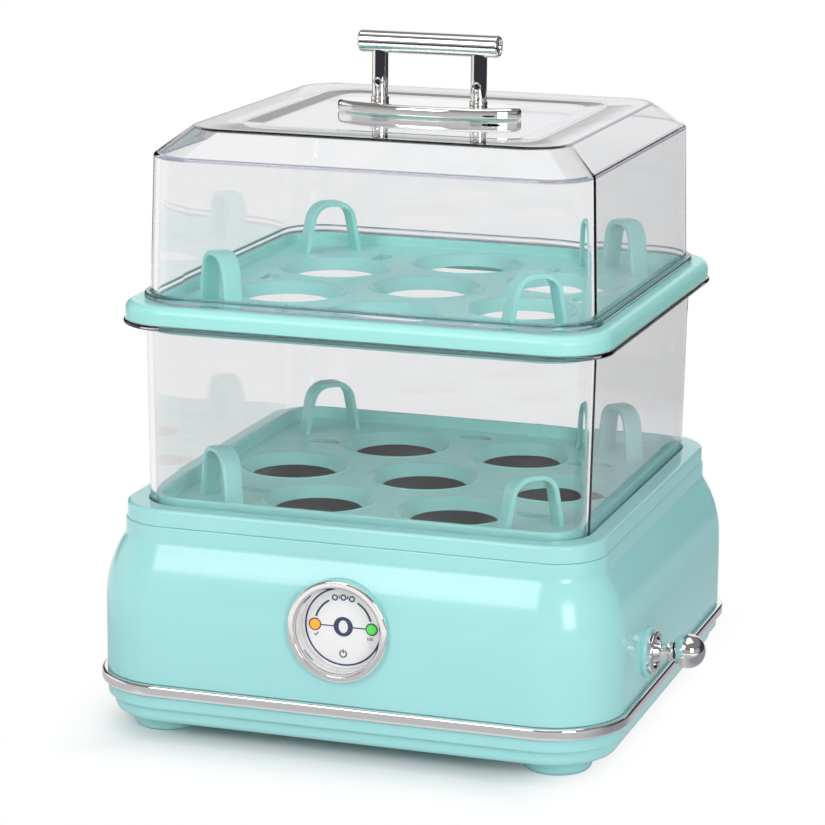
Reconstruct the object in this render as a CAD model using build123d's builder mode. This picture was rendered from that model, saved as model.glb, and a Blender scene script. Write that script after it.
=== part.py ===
"""Two-tier electric egg cooker, in millimetres.

A square base holds the heating plate, the dial and the switch. A clear steam chamber stands in its top,
with one egg tray inside and a second tray on its rim, and a clear lid with a bar handle closes it.
The origin is on the table under the middle of the base, +Z is up, the dial faces -Y and the lever +X.
"""

from build123d import *
import math
import os

os.makedirs("parts", exist_ok=True)

# Plan sizes, as half-widths from the middle, from the chamber outwards
CHAMBER_FOOT_HALF = 77.8
CHAMBER_DRAFT = 1.0
CHAMBER_WALL = 2.0
CHAMBER_CORNER_R = 15.0
CHAMBER_GAP = 0.4
FLANGE_OUT = 6.6
RING_LAND = 6.4
NECK_STEP = 0.5
FLARE_OUT = 6.9
BODY_CORNER_R = 25.5
TRIM_PROUD = 1.9
COVER_SETBACK = 0.2
COVER_STEP_IN = 2.5
BASE_WALL = 2.5

# Heights of the base, stacked from the table up
FOOT_H = 5.5
LOWER_BAND_H = 5.5
UPPER_BAND_H = 5.0
TRIM_H = 4.0
SIDE_H = 25.5
FLARE_H = 22.5
NECK_H = 5.5
RING_H = 6.0

# Heights of the parts above the base
RECESS_DEPTH = 5.5
CHAMBER_H = 67.0
FLANGE_T = 1.6
RIM_H = 6.4
LID_WALL_H = 49.0
SHOULDER_H = 9.0

# Feet, chassis and the screws that hold the base together
FOOT_INSET = 19.3
FOOT_R = 11.8
FOOT_EDGE_R = 2.0
SCREW_R = 1.6
SCREW_HEAD_R = 3.2
SCREW_HEAD_H = 2.2
SCREW_FIT = 0.05
HEAD_GAP = 0.5
FRAME_T = 2.5
FRAME_GAP = 0.2
BOSS_R = 3.9
BOSS_GRIP = 12.0
COVER_FLOOR_T = 2.5
COVER_EDGE_R = 2.5
LIP_T = 1.4
LIP_H = 3.5
LIP_GAP = 0.3
TRIM_EDGE_R = 1.0

# Top ring and its seat
RING_WALL = 2.2
RING_EDGE_R = 1.2
RING_FLOOR_T = 3.0
SEAT_DROP = 3.0
SEAT_T = 2.0
SEAT_W = 7.0
RING_SCREW_R = 1.3
RING_SCREW_HEAD_R = 2.6
RING_SCREW_HEAD_H = 1.6
RING_SCREW_GRIP = 2.2
RING_SCREW_PITCH = 70.0

# Heating plate and what heats it
PLATE_INSET = 3.8
PLATE_R = 22.0
PLATE_T = 1.2
PLATE_RIM_W = 7.0
DISH_DEPTH = 10.0
DISH_SLOPE = 5.4
DISH_R = 18.0
GASKET_T = 1.0
PLATE_GAP = 0.6
PLATE_SCREW_INSET = 4.2
PLATE_SCREW_R = 1.4
PLATE_SCREW_HEAD_R = 2.6
PLATE_SCREW_HEAD_H = 1.5
PLATE_SCREW_L = 8.0
PLATE_BOSS_R = 3.2
PLATE_BOSS_H = 6.0
ELEMENT_R = 42.0
ELEMENT_W = 8.0
ELEMENT_H = 6.0
ELEMENT_GAP = 40.0
ELEMENT_PIN_R = 1.5
ELEMENT_PIN_L = 10.0
CLAMP_REACH = 4.0
CLAMP_W = 14.0
CLAMP_T = 1.5
STUD_AT = 28.0
STUD_R = 2.0
STUD_TAIL = 2.0
NUT_R = 4.0
NUT_T = 2.5
THERMOSTAT_R = 8.5
FUSE_L = 16.0
FUSE_W = 6.0
FUSE_T = 4.0
FUSE_PIN_R = 0.6
FUSE_PIN_L = 6.0

# Egg trays
TRAY_GAP = 0.6
TRAY_T = 1.8
TRAY_RISE = 3.2
TRAY_RIM_W = 2.0
TRAY_RIM_UP = 4.5
SEAT_MARGIN = 3.5
EGG_TOP_R = 19.2
EGG_HOLE_R = 15.0
EGG_BOWL_H = 3.7
BOWL_WALL = 1.5
ARCH_INSET = 19.8
ARCH_H = 18.0
ARCH_FOOT = 21.4
ARCH_TOP = 14.0
ARCH_BEND_R = 6.9
ARCH_W = 6.8
ARCH_T = 2.0
STEAM_SLOT_R = 6.0
STEAM_SLOT_AT = (51.0, 36.0)
STEAM_SLOT_MID = 61.0
UPPER_SINK = 3.6
UPPER_SKIRT_H = 8.6
UPPER_SKIRT_T = 2.2
UPPER_SKIRT_GAP = 0.6
RIM_SETBACK = 0.7
RIM_WALL = 2.0
RIM_EDGE_R = 3.0

# Lid
LID_BORDER = 4.6
LID_LIP = 2.1
LID_LIP_T = 2.2
LID_DRAFT = 1.4
LID_WALL = 2.2
LID_CORNER_R = 16.0
SHOULDER_RUN = 10.9
LID_TOP_R = 13.5
PANEL_HALF = 46.0
PANEL_RUN = 6.5
PANEL_SINK = 0.7
PANEL_R = 8.0
VENT_X = 27.7
VENT_Y = -17.0
VENT_R = 3.4

# Bar handle on the lid
HANDLE_PLATE_L = 66.6
HANDLE_PLATE_W = 22.0
HANDLE_PLATE_T = 4.2
HANDLE_PLATE_TOP_R = 1.7
HANDLE_PLATE_FOOT_R = 1.0
POST_AT = 17.9
POST_R = 2.8
POST_BORE_R = 1.5
POST_BORE_H = 4.8
COLLAR_R = 3.15
COLLAR_H = 1.6
BAR_L = 50.6
BAR_R = 3.9
BAR_Z_OVER_PLATE = 20.5
BAR_EDGE = 0.6
SET_SCREW_R = 1.0
SET_SCREW_DEPTH = 1.9
SET_SCREW_SINK = 0.4
SET_SCREW_Z = 6.6
HANDLE_SCREW_HEAD_R = 3.0
HANDLE_SCREW_HEAD_H = 1.8
WASHER_R = 4.5
WASHER_T = 0.8
SOCKET_FIT = 0.02

# Dial on the front
DIAL_UP = 26.0
BEZEL_R = 17.6
BEZEL_PROUD = 2.2
BEZEL_LIP_W = 2.2
BEZEL_EDGE_R = 0.8
BEZEL_TUBE_WALL = 1.2
DIAL_PAD_W = 1.0
DIAL_PAD_BACK = 0.6
DIAL_HOLE_GAP = 0.2
LENS_SINK = 1.0
LENS_T = 1.2
FACE_DEPTH = 7.2
FACE_T = 1.2
LAMP_AT = 10.0
LAMP_R = 1.8
LAMP_PROUD = 0.6
LAMP_GAP = 0.1
LAMP_BASE_R = 2.4
LAMP_BASE_T = 1.0
BOARD_T = 1.6
NUT_WALL = 4.0
DIAL_NUT_T = 3.5

# Lever switch on the right side
LEVER_Y = -39.0
LEVER_UP = 13.2
LEVER_TILT = 6.5
PAD_R = 8.6
PAD_PROUD = 1.8
LEVER_PLATE_R = 7.5
LEVER_PLATE_T = 1.2
LEVER_PLATE_EDGE = 0.4
LEVER_ROOT_R = 5.2
ROOT_GAP = 0.3
PLATE_HOLE_GAP = 0.25
PIVOT_IN = 0.5
STEM_R = 2.7
BALL_R = 5.9
BALL_AT = 15.1
TAIL_R = 1.8
TAIL_L = 12.0
BUSH_WALL = 0.9
BUSH_GAP = 0.1
PIN_R = 1.2
PIN_FIT = 0.03
SWITCH_L = 20.0
SWITCH_W = 16.0
SWITCH_GAP = 0.5
TAIL_ROOM = 1.4
LEVER_SWING = 14.0
BLADE_L = 7.0
BLADE_W = 4.0
BLADE_T = 0.8

# Cord inlet at the back and the terminal block behind it
GLAND_X = 30.0
GLAND_CLEAR = 0.5
GLAND_R = 7.5
GLAND_PROUD = 1.8
GLAND_BODY_R = 5.5
GLAND_BORE_R = 3.3
GLAND_L = 12.0
GLAND_GAP = 0.1
GLAND_NUT_R = 8.0
GLAND_NUT_T = 4.0
BLOCK_L = 30.0
BLOCK_W = 12.0
BLOCK_H = 12.0
BLOCK_INSET = 17.0
BLOCK_WAYS = 3

# Insulated leads between the inner pieces
WIRE_R = 1.0
WIRE_RUN = 11.0
WIRE_PITCH = 2.6

# Half-widths worked out from the chamber outwards
CHAMBER_TOP_HALF = CHAMBER_FOOT_HALF + CHAMBER_DRAFT
RECESS_HALF = CHAMBER_FOOT_HALF + CHAMBER_GAP
RING_HALF = RECESS_HALF + RING_LAND
NECK_HALF = RING_HALF + NECK_STEP
BODY_HALF = NECK_HALF + FLARE_OUT
TRIM_HALF = BODY_HALF + TRIM_PROUD
BAND_HALF = BODY_HALF - COVER_SETBACK
BOTTOM_HALF = BAND_HALF - COVER_STEP_IN
CORNER_CENTRE = BODY_HALF - BODY_CORNER_R
LIP_HALF = BODY_HALF - BASE_WALL - LIP_GAP
FLANGE_HALF = CHAMBER_TOP_HALF + FLANGE_OUT
RIM_HALF = FLANGE_HALF - RIM_SETBACK
LID_FLANGE_HALF = RIM_HALF - LID_BORDER
LID_FOOT_HALF = LID_FLANGE_HALF - LID_LIP
LID_SHOULDER_HALF = LID_FOOT_HALF - LID_DRAFT
LID_TOP_HALF = LID_SHOULDER_HALF - SHOULDER_RUN
TRAY_HALF = CHAMBER_FOOT_HALF - CHAMBER_WALL - TRAY_GAP
TRAY_CORNER_R = CHAMBER_CORNER_R - CHAMBER_WALL - TRAY_GAP
SKIRT_HALF = CHAMBER_TOP_HALF - CHAMBER_WALL - UPPER_SKIRT_GAP
PLATE_HALF = TRAY_HALF - TRAY_RIM_W - PLATE_INSET
PLATE_SCREW_AT = PLATE_HALF - PLATE_R + (PLATE_R - PLATE_SCREW_INSET) / math.sqrt(2)
FOOT_AT = BOTTOM_HALF - FOOT_INSET
ARCH_AT = TRAY_HALF - ARCH_INSET
SEAT_PITCH = TRAY_HALF - TRAY_RIM_W - SEAT_MARGIN - EGG_TOP_R - BOWL_WALL
ROW_PITCH = SEAT_PITCH * math.sqrt(3) / 2

# Levels worked out from the stacked heights
BOTTOM_Z = FOOT_H
BAND_Z = BOTTOM_Z + LOWER_BAND_H
TRIM_Z = BAND_Z + UPPER_BAND_H
BODY_Z = TRIM_Z + TRIM_H
FLARE_Z = BODY_Z + SIDE_H
NECK_Z = FLARE_Z + FLARE_H
PARTING_Z = NECK_Z + NECK_H
RING_TOP_Z = PARTING_Z + RING_H
RECESS_Z = RING_TOP_Z - RECESS_DEPTH
RING_FLOOR_Z = RECESS_Z - RING_FLOOR_T
SEAT_Z = RECESS_Z - SEAT_DROP
FLANGE_Z = RECESS_Z + CHAMBER_H
RIM_Z = FLANGE_Z + FLANGE_T
RIM_TOP_Z = RIM_Z + RIM_H
SHOULDER_Z = RIM_TOP_Z + LID_WALL_H
LID_TOP_Z = SHOULDER_Z + SHOULDER_H
PANEL_Z = LID_TOP_Z - PANEL_SINK
COVER_FLOOR_Z = BOTTOM_Z + COVER_FLOOR_T
DIAL_Z = BODY_Z + DIAL_UP
LEVER_Z = BODY_Z + LEVER_UP
GLAND_Z = BODY_Z + LIP_H + GLAND_NUT_R + GLAND_CLEAR

FROM_BELOW = (Align.CENTER, Align.CENTER, Align.MIN)
CORNERS = [(1, 1), (-1, 1), (-1, -1), (1, -1)]
PARTS = []


def square(z, half, radius):
    """A rounded square at height z."""
    with BuildSketch(Plane.XY.offset(z)) as outline:
        RectangleRounded(2 * half, 2 * half, radius)
    return outline.sketch


def base_square(z, half):
    """A rounded square whose corners share their centres with the base's corners."""
    return square(z, half, half - CORNER_CENTRE)


def slab(z, height, half, radius, mode=Mode.ADD):
    """Adds or cuts a straight slab with a rounded square plan."""
    extrude(square(z, half, radius), amount=height, mode=mode)


def taper(low, high, mode=Mode.ADD):
    """Adds or cuts a block between two rounded squares, each given as its height, half-width and radius."""
    loft([square(*low), square(*high)], ruled=True, mode=mode)


def round_bar(plane, radius, length, mode=Mode.ADD):
    """Adds or cuts a cylinder that starts on a plane and runs along its normal."""
    with BuildSketch(plane) as end:
        Circle(radius)
    extrude(end.sketch, amount=length, mode=mode)


def tube(plane, outer, inner, length):
    """Adds a tube that starts on a plane and runs along its normal."""
    with BuildSketch(plane) as end:
        Circle(outer)
        Circle(inner, mode=Mode.SUBTRACT)
    extrude(end.sketch, amount=length)


def level(x, y, z):
    """A plane at a point, facing up."""
    return Plane(origin=(x, y, z), x_dir=(1, 0, 0), z_dir=(0, 0, 1))


def front(y, x=0.0, z=DIAL_Z):
    """A plane at a point on the dial's side, facing the front."""
    return Plane(origin=(x, y, z), x_dir=(1, 0, 0), z_dir=(0, -1, 0))


def side(x, y=LEVER_Y, z=LEVER_Z):
    """A plane at a point on the lever's side, facing right."""
    return Plane(origin=(x, y, z), x_dir=(0, 1, 0), z_dir=(1, 0, 0))


def finish_part(built, label):
    """Labels a finished piece and writes it to its file."""
    built.part.label = label
    export_step(built.part, f"parts/{label}.step")
    PARTS.append(label)


# Base housing: a flared shell, clamped between the top ring and the bottom cover
SECTION_PLANE = Plane(origin=(0, CORNER_CENTRE, 0), x_dir=(1, 0, 0), z_dir=(0, -1, 0))
CORNER_AXIS = Axis((CORNER_CENTRE, CORNER_CENTRE, 0), (0, 0, 1))
FLARE_RADIUS = (FLARE_OUT**2 + FLARE_H**2) / (2 * FLARE_OUT)
HOUSING_IN = BODY_HALF - BASE_WALL

with BuildPart() as housing_quarter:
    with BuildSketch(SECTION_PLANE) as housing_section:
        with BuildLine():
            foot = Line((HOUSING_IN, BODY_Z), (BODY_HALF, BODY_Z))
            wall = Line(foot @ 1, (BODY_HALF, FLARE_Z))
            flare = RadiusArc(wall @ 1, (NECK_HALF, NECK_Z), -FLARE_RADIUS)
            neck = Line(flare @ 1, (NECK_HALF, PARTING_Z))
            rim = Line(neck @ 1, (NECK_HALF - BASE_WALL, PARTING_Z))
            inner_neck = Line(rim @ 1, (NECK_HALF - BASE_WALL, NECK_Z - BASE_WALL))
            inner_flare = RadiusArc(inner_neck @ 1, (HOUSING_IN, FLARE_Z), FLARE_RADIUS)
            inner_wall = Line(inner_flare @ 1, foot @ 0)
        make_face()
    extrude(amount=2 * CORNER_CENTRE)
    revolve(housing_section.sketch, axis=CORNER_AXIS, revolution_arc=90)

DIAL_HOLE_R = BEZEL_R - BEZEL_LIP_W + BEZEL_TUBE_WALL + DIAL_HOLE_GAP
DIAL_PAD_R = BEZEL_R + DIAL_PAD_W
DIAL_BACK_Y = -(NECK_HALF - BASE_WALL - DIAL_PAD_BACK)
DIAL_PAD_DEPTH = BODY_HALF + DIAL_BACK_Y
PAD_FRONT_X = BODY_HALF + PAD_PROUD
BUSH_IN_R = LEVER_ROOT_R + ROOT_GAP
BUSH_R = BUSH_IN_R + BUSH_WALL
GLAND_PLANE = Plane(origin=(GLAND_X, BODY_HALF, GLAND_Z), x_dir=(-1, 0, 0), z_dir=(0, 1, 0))

with BuildPart() as base_housing:
    with PolarLocations(0, 4):
        add(housing_quarter.part)
    round_bar(front(DIAL_BACK_Y), DIAL_PAD_R, DIAL_PAD_DEPTH)
    round_bar(front(DIAL_BACK_Y), DIAL_HOLE_R, DIAL_PAD_DEPTH, Mode.SUBTRACT)
    round_bar(side(HOUSING_IN + BASE_WALL / 2), PAD_R, PAD_PROUD + BASE_WALL / 2)
    round_bar(side(HOUSING_IN), BUSH_R + BUSH_GAP, BASE_WALL + PAD_PROUD, Mode.SUBTRACT)
    round_bar(GLAND_PLANE, GLAND_BODY_R + GLAND_GAP, -BASE_WALL, Mode.SUBTRACT)
finish_part(base_housing, "base_housing")

# Chassis: a frame inside the neck with a post at each corner; the ring and the cover are both screwed to it
FRAME_HALF = NECK_HALF - BASE_WALL - FRAME_GAP
FRAME_IN_HALF = PLATE_HALF + PLATE_GAP + RING_WALL + CHAMBER_GAP
FRAME_IN_R = PLATE_R + PLATE_GAP + RING_WALL + CHAMBER_GAP
FRAME_Z = RING_FLOOR_Z - FRAME_T
POST_Z = COVER_FLOOR_Z
RING_SCREW_AT = (FRAME_IN_HALF + FRAME_HALF) / 2

with BuildPart() as chassis:
    extrude(base_square(FRAME_Z, FRAME_HALF), amount=FRAME_T)
    slab(FRAME_Z, FRAME_T, FRAME_IN_HALF, FRAME_IN_R, Mode.SUBTRACT)
    for cx, cy in CORNERS:
        spot = level(cx * FOOT_AT, cy * FOOT_AT, POST_Z)
        round_bar(spot, BOSS_R, FRAME_Z - POST_Z)
        round_bar(spot, SCREW_R + SCREW_FIT, BOSS_GRIP + SCREW_FIT, Mode.SUBTRACT)
        spot = level(cx * RING_SCREW_AT, cy * RING_SCREW_PITCH / 2, FRAME_Z)
        round_bar(spot, RING_SCREW_R + SCREW_FIT, FRAME_T, Mode.SUBTRACT)
finish_part(chassis, "chassis")

# Top ring: closes the housing's neck, carries the chamber in its recess and the heating plate on its seat
SEAT_HALF = PLATE_HALF + PLATE_GAP
SEAT_IN_HALF = SEAT_HALF - SEAT_W
STEP_HALF = SEAT_HALF + RING_WALL
SEAT_BOTTOM_Z = SEAT_Z - SEAT_T
RECESS_R = CHAMBER_CORNER_R + CHAMBER_GAP
SEAT_R = PLATE_R + PLATE_GAP
SEAT_IN_R = DISH_R + PLATE_GAP

with BuildPart() as top_ring:
    extrude(base_square(PARTING_Z, RING_HALF), amount=RING_H)
    fillet(top_ring.faces().sort_by(Axis.Z)[-1].outer_wire().edges(), radius=RING_EDGE_R)
    extrude(base_square(PARTING_Z, RING_HALF - RING_WALL), amount=RING_H - RING_WALL, mode=Mode.SUBTRACT)
    recess_h = RING_TOP_Z - RING_FLOOR_Z - RING_WALL / 2
    slab(RING_FLOOR_Z, recess_h, RECESS_HALF + RING_WALL, RECESS_R + RING_WALL)
    slab(RECESS_Z, RING_TOP_Z - RECESS_Z, RECESS_HALF, RECESS_R, Mode.SUBTRACT)
    slab(SEAT_BOTTOM_Z, RING_FLOOR_Z - SEAT_BOTTOM_Z, STEP_HALF, SEAT_R + RING_WALL)
    slab(SEAT_Z, RECESS_Z - SEAT_Z, SEAT_HALF, SEAT_R, Mode.SUBTRACT)
    for cx, cy in CORNERS:
        spot = level(cx * PLATE_SCREW_AT, cy * PLATE_SCREW_AT, SEAT_BOTTOM_Z - PLATE_BOSS_H)
        round_bar(spot, PLATE_BOSS_R, PLATE_BOSS_H)
    slab(SEAT_BOTTOM_Z, SEAT_T, SEAT_IN_HALF, SEAT_IN_R, Mode.SUBTRACT)
    for cx, cy in CORNERS:
        spot = level(cx * PLATE_SCREW_AT, cy * PLATE_SCREW_AT, SEAT_Z + GASKET_T + PLATE_T - PLATE_SCREW_L)
        round_bar(spot, PLATE_SCREW_R + SCREW_FIT, PLATE_SCREW_L, Mode.SUBTRACT)
    for cx, cy in CORNERS:
        spot = level(cx * RING_SCREW_AT, cy * RING_SCREW_PITCH / 2, RING_FLOOR_Z)
        round_bar(spot, RING_SCREW_R + SCREW_FIT, RING_SCREW_GRIP, Mode.SUBTRACT)
finish_part(top_ring, "top_ring")

with BuildPart() as ring_screws:
    for cx, cy in CORNERS:
        spot = (cx * RING_SCREW_AT, cy * RING_SCREW_PITCH / 2)
        round_bar(level(*spot, FRAME_Z - RING_SCREW_HEAD_H), RING_SCREW_HEAD_R, RING_SCREW_HEAD_H)
        round_bar(level(*spot, FRAME_Z), RING_SCREW_R, FRAME_T + RING_SCREW_GRIP)
finish_part(ring_screws, "ring_screws")

# Chrome trim: a band clamped between the housing and the bottom cover
with BuildPart() as chrome_trim:
    extrude(base_square(TRIM_Z, TRIM_HALF), amount=TRIM_H)
    top_edges = chrome_trim.faces().sort_by(Axis.Z)[-1].edges()
    bottom_edges = chrome_trim.faces().sort_by(Axis.Z)[0].edges()
    fillet(top_edges + bottom_edges, radius=TRIM_EDGE_R)
    extrude(base_square(TRIM_Z, LIP_HALF + LIP_GAP / 2), amount=TRIM_H, mode=Mode.SUBTRACT)
finish_part(chrome_trim, "chrome_trim")

# Bottom cover: two stepped bands, a floor and a lip that centres it in the trim and the housing
with BuildPart() as bottom_cover:
    extrude(base_square(BOTTOM_Z, BOTTOM_HALF), amount=LOWER_BAND_H)
    fillet(bottom_cover.faces().sort_by(Axis.Z)[0].edges(), radius=COVER_EDGE_R)
    extrude(base_square(BAND_Z, BAND_HALF), amount=UPPER_BAND_H)
    extrude(base_square(TRIM_Z, LIP_HALF), amount=TRIM_H + LIP_H)
    inside_h = BODY_Z + LIP_H - COVER_FLOOR_Z
    extrude(base_square(COVER_FLOOR_Z, LIP_HALF - LIP_T), amount=inside_h, mode=Mode.SUBTRACT)
    for cx, cy in CORNERS:
        spot = level(cx * FOOT_AT, cy * FOOT_AT, BOTTOM_Z)
        round_bar(spot, SCREW_R + SCREW_FIT, COVER_FLOOR_T, Mode.SUBTRACT)
finish_part(bottom_cover, "bottom_cover")

# Feet, each held by the screw that also holds the cover
FOOT_HEAD_Z = FOOT_H / 2
FOOT_NAMES = ["foot_back_right", "foot_back_left", "foot_front_left", "foot_front_right"]
for name, (cx, cy) in zip(FOOT_NAMES, CORNERS):
    with BuildPart() as foot_part:
        spot = level(cx * FOOT_AT, cy * FOOT_AT, 0)
        round_bar(spot, FOOT_R, FOOT_H)
        fillet(foot_part.faces().sort_by(Axis.Z)[0].edges(), radius=FOOT_EDGE_R)
        round_bar(spot, SCREW_HEAD_R + HEAD_GAP, FOOT_HEAD_Z, Mode.SUBTRACT)
        round_bar(spot, SCREW_R + SCREW_FIT, FOOT_H, Mode.SUBTRACT)
    finish_part(foot_part, name)

with BuildPart() as base_screws:
    for cx, cy in CORNERS:
        spot = (cx * FOOT_AT, cy * FOOT_AT)
        round_bar(level(*spot, FOOT_HEAD_Z - SCREW_HEAD_H), SCREW_HEAD_R, SCREW_HEAD_H)
        round_bar(level(*spot, FOOT_HEAD_Z), SCREW_R, POST_Z + BOSS_GRIP - FOOT_HEAD_Z)
finish_part(base_screws, "base_screws")

# Heating plate: a shallow water dish with two studs under it, on a gasket on the ring's seat
PLATE_Z = SEAT_Z + GASKET_T
DISH_HALF = PLATE_HALF - PLATE_RIM_W
DISH_Z = PLATE_Z + PLATE_T - DISH_DEPTH
DISH_FOOT_R = DISH_R - DISH_SLOPE / 2
CLAMP_Z = DISH_Z - ELEMENT_H - CLAMP_T
STUD_END_Z = CLAMP_Z - NUT_T - STUD_TAIL

with BuildPart() as heating_plate:
    slab(PLATE_Z, PLATE_T, PLATE_HALF, PLATE_R)
    taper((DISH_Z, DISH_HALF - DISH_SLOPE, DISH_FOOT_R), (PLATE_Z, DISH_HALF, DISH_R))
    taper(
        (DISH_Z + PLATE_T, DISH_HALF - DISH_SLOPE - PLATE_T, DISH_FOOT_R - PLATE_T / 2),
        (PLATE_Z + PLATE_T, DISH_HALF - PLATE_T, DISH_R - PLATE_T / 2),
        Mode.SUBTRACT,
    )
    for x in (-STUD_AT, STUD_AT):
        round_bar(level(x, 0, STUD_END_Z), STUD_R, DISH_Z - STUD_END_Z)
    for cx, cy in CORNERS:
        spot = level(cx * PLATE_SCREW_AT, cy * PLATE_SCREW_AT, PLATE_Z)
        round_bar(spot, PLATE_SCREW_R + SCREW_FIT, PLATE_T, Mode.SUBTRACT)
finish_part(heating_plate, "heating_plate")

with BuildPart() as plate_gasket:
    slab(SEAT_Z, GASKET_T, PLATE_HALF, PLATE_R)
    slab(SEAT_Z, GASKET_T, DISH_HALF + PLATE_GAP, DISH_R, Mode.SUBTRACT)
    for cx, cy in CORNERS:
        spot = level(cx * PLATE_SCREW_AT, cy * PLATE_SCREW_AT, SEAT_Z)
        round_bar(spot, PLATE_SCREW_R + SCREW_FIT, GASKET_T, Mode.SUBTRACT)
finish_part(plate_gasket, "plate_gasket")

with BuildPart() as plate_screws:
    for cx, cy in CORNERS:
        spot = (cx * PLATE_SCREW_AT, cy * PLATE_SCREW_AT)
        round_bar(level(*spot, PLATE_Z + PLATE_T), PLATE_SCREW_HEAD_R, PLATE_SCREW_HEAD_H)
        round_bar(level(*spot, PLATE_Z + PLATE_T - PLATE_SCREW_L), PLATE_SCREW_R, PLATE_SCREW_L)
finish_part(plate_screws, "plate_screws")

# Heating element: an open ring with two pins down, pressed to the dish by a bar clamp
PIN_TURN = ELEMENT_GAP / 2 + math.degrees(2 * ELEMENT_PIN_R / ELEMENT_R)
PIN_X = ELEMENT_R * math.sin(math.radians(PIN_TURN))
PIN_Y = ELEMENT_R * math.cos(math.radians(PIN_TURN))
PIN_Z = DISH_Z - ELEMENT_H - ELEMENT_PIN_L

with BuildPart() as heating_element:
    start = math.radians(90 + ELEMENT_GAP / 2)
    toward = (math.cos(start), math.sin(start), 0)
    section_plane = Plane(origin=(0, 0, 0), x_dir=toward, z_dir=(toward[1], -toward[0], 0))
    with BuildSketch(section_plane) as element_section:
        with Locations((ELEMENT_R, DISH_Z - ELEMENT_H / 2)):
            Rectangle(ELEMENT_W, ELEMENT_H)
    revolve(axis=Axis.Z, revolution_arc=360 - ELEMENT_GAP)
    for x in (-PIN_X, PIN_X):
        round_bar(level(x, PIN_Y, PIN_Z), ELEMENT_PIN_R, ELEMENT_PIN_L)
finish_part(heating_element, "heating_element")

with BuildPart() as element_clamp:
    with BuildSketch(level(0, 0, CLAMP_Z)):
        Rectangle(2 * ELEMENT_R + ELEMENT_W + 2 * CLAMP_REACH, CLAMP_W)
        with Locations((-STUD_AT, 0), (STUD_AT, 0)):
            Circle(STUD_R + SCREW_FIT, mode=Mode.SUBTRACT)
    extrude(amount=CLAMP_T)
finish_part(element_clamp, "element_clamp")

with BuildPart() as clamp_nuts:
    with BuildSketch(level(0, 0, CLAMP_Z - NUT_T)):
        with Locations((-STUD_AT, 0), (STUD_AT, 0)):
            RegularPolygon(NUT_R, 6)
            Circle(STUD_R + SCREW_FIT, mode=Mode.SUBTRACT)
    extrude(amount=NUT_T)
finish_part(clamp_nuts, "clamp_nuts")

with BuildPart() as thermostat:
    round_bar(level(0, 0, DISH_Z - ELEMENT_H), THERMOSTAT_R, ELEMENT_H)
    with BuildSketch(level(0, 0, DISH_Z - ELEMENT_H)):
        Rectangle(BLADE_W, 2 * (THERMOSTAT_R + BLADE_L))
    extrude(amount=BLADE_T)
finish_part(thermostat, "thermostat")

FUSE_END_X = FUSE_L / 2 + FUSE_PIN_L
FUSE_Z = CLAMP_Z - FUSE_T / 2
with BuildPart() as thermal_fuse:
    with BuildSketch(level(0, 0, CLAMP_Z - FUSE_T)):
        Rectangle(FUSE_L, FUSE_W)
    extrude(amount=FUSE_T)
    fillet(thermal_fuse.edges().filter_by(Axis.X).group_by(Axis.Z)[0], radius=FUSE_T / 3)
    round_bar(side(-FUSE_END_X, 0, FUSE_Z), FUSE_PIN_R, 2 * FUSE_END_X)
finish_part(thermal_fuse, "thermal_fuse")

# Dial: a chrome bezel whose tube passes the housing wall and holds the lens, the face and the lamps
BEZEL_FRONT_Y = -BODY_HALF - BEZEL_PROUD
BEZEL_IN_R = BEZEL_R - BEZEL_LIP_W
TUBE_R = BEZEL_IN_R + BEZEL_TUBE_WALL
FACE_Y = BEZEL_FRONT_Y + FACE_DEPTH
TUBE_BACK_Y = DIAL_BACK_Y + DIAL_NUT_T
BOARD_Y = TUBE_BACK_Y - BOARD_T
LENS_R = BEZEL_IN_R - LAMP_GAP
LENS_FRONT_Y = BEZEL_FRONT_Y + LENS_SINK

with BuildPart() as dial_bezel:
    tube(front(-BODY_HALF), BEZEL_R, BEZEL_IN_R, BEZEL_PROUD)
    fillet(dial_bezel.faces().sort_by(Axis.Y)[0].outer_wire().edges(), radius=BEZEL_EDGE_R)
    tube(front(TUBE_BACK_Y), TUBE_R, BEZEL_IN_R, TUBE_BACK_Y + BODY_HALF)
finish_part(dial_bezel, "dial_bezel")

with BuildPart() as dial_nut:
    tube(front(DIAL_BACK_Y + DIAL_NUT_T), TUBE_R + NUT_WALL, TUBE_R + LAMP_GAP, DIAL_NUT_T)
finish_part(dial_nut, "dial_nut")

with BuildPart() as dial_lens:
    round_bar(front(FACE_Y), LENS_R, FACE_Y - LENS_FRONT_Y)
    round_bar(front(FACE_Y), LENS_R - LENS_T, FACE_Y - LENS_FRONT_Y - LENS_T, Mode.SUBTRACT)
finish_part(dial_lens, "dial_lens")

with BuildPart() as dial_face:
    with BuildSketch(front(FACE_Y + FACE_T)):
        Circle(LENS_R)
        with Locations((-LAMP_AT, 0), (LAMP_AT, 0)):
            Circle(LAMP_R + LAMP_GAP, mode=Mode.SUBTRACT)
    extrude(amount=FACE_T)
finish_part(dial_face, "dial_face")

for name, x in (("ready_lamp", -LAMP_AT), ("steaming_lamp", LAMP_AT)):
    with BuildPart() as lamp:
        round_bar(front(BOARD_Y, x), LAMP_R, BOARD_Y - FACE_Y + LAMP_PROUD)
        fillet(lamp.faces().sort_by(Axis.Y)[0].edges(), radius=LAMP_PROUD / 2)
        round_bar(front(BOARD_Y, x), LAMP_BASE_R, LAMP_BASE_T)
    finish_part(lamp, name)

with BuildPart() as lamp_board:
    round_bar(front(BOARD_Y + BOARD_T), LENS_R, BOARD_T)
finish_part(lamp_board, "lamp_board")

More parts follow.
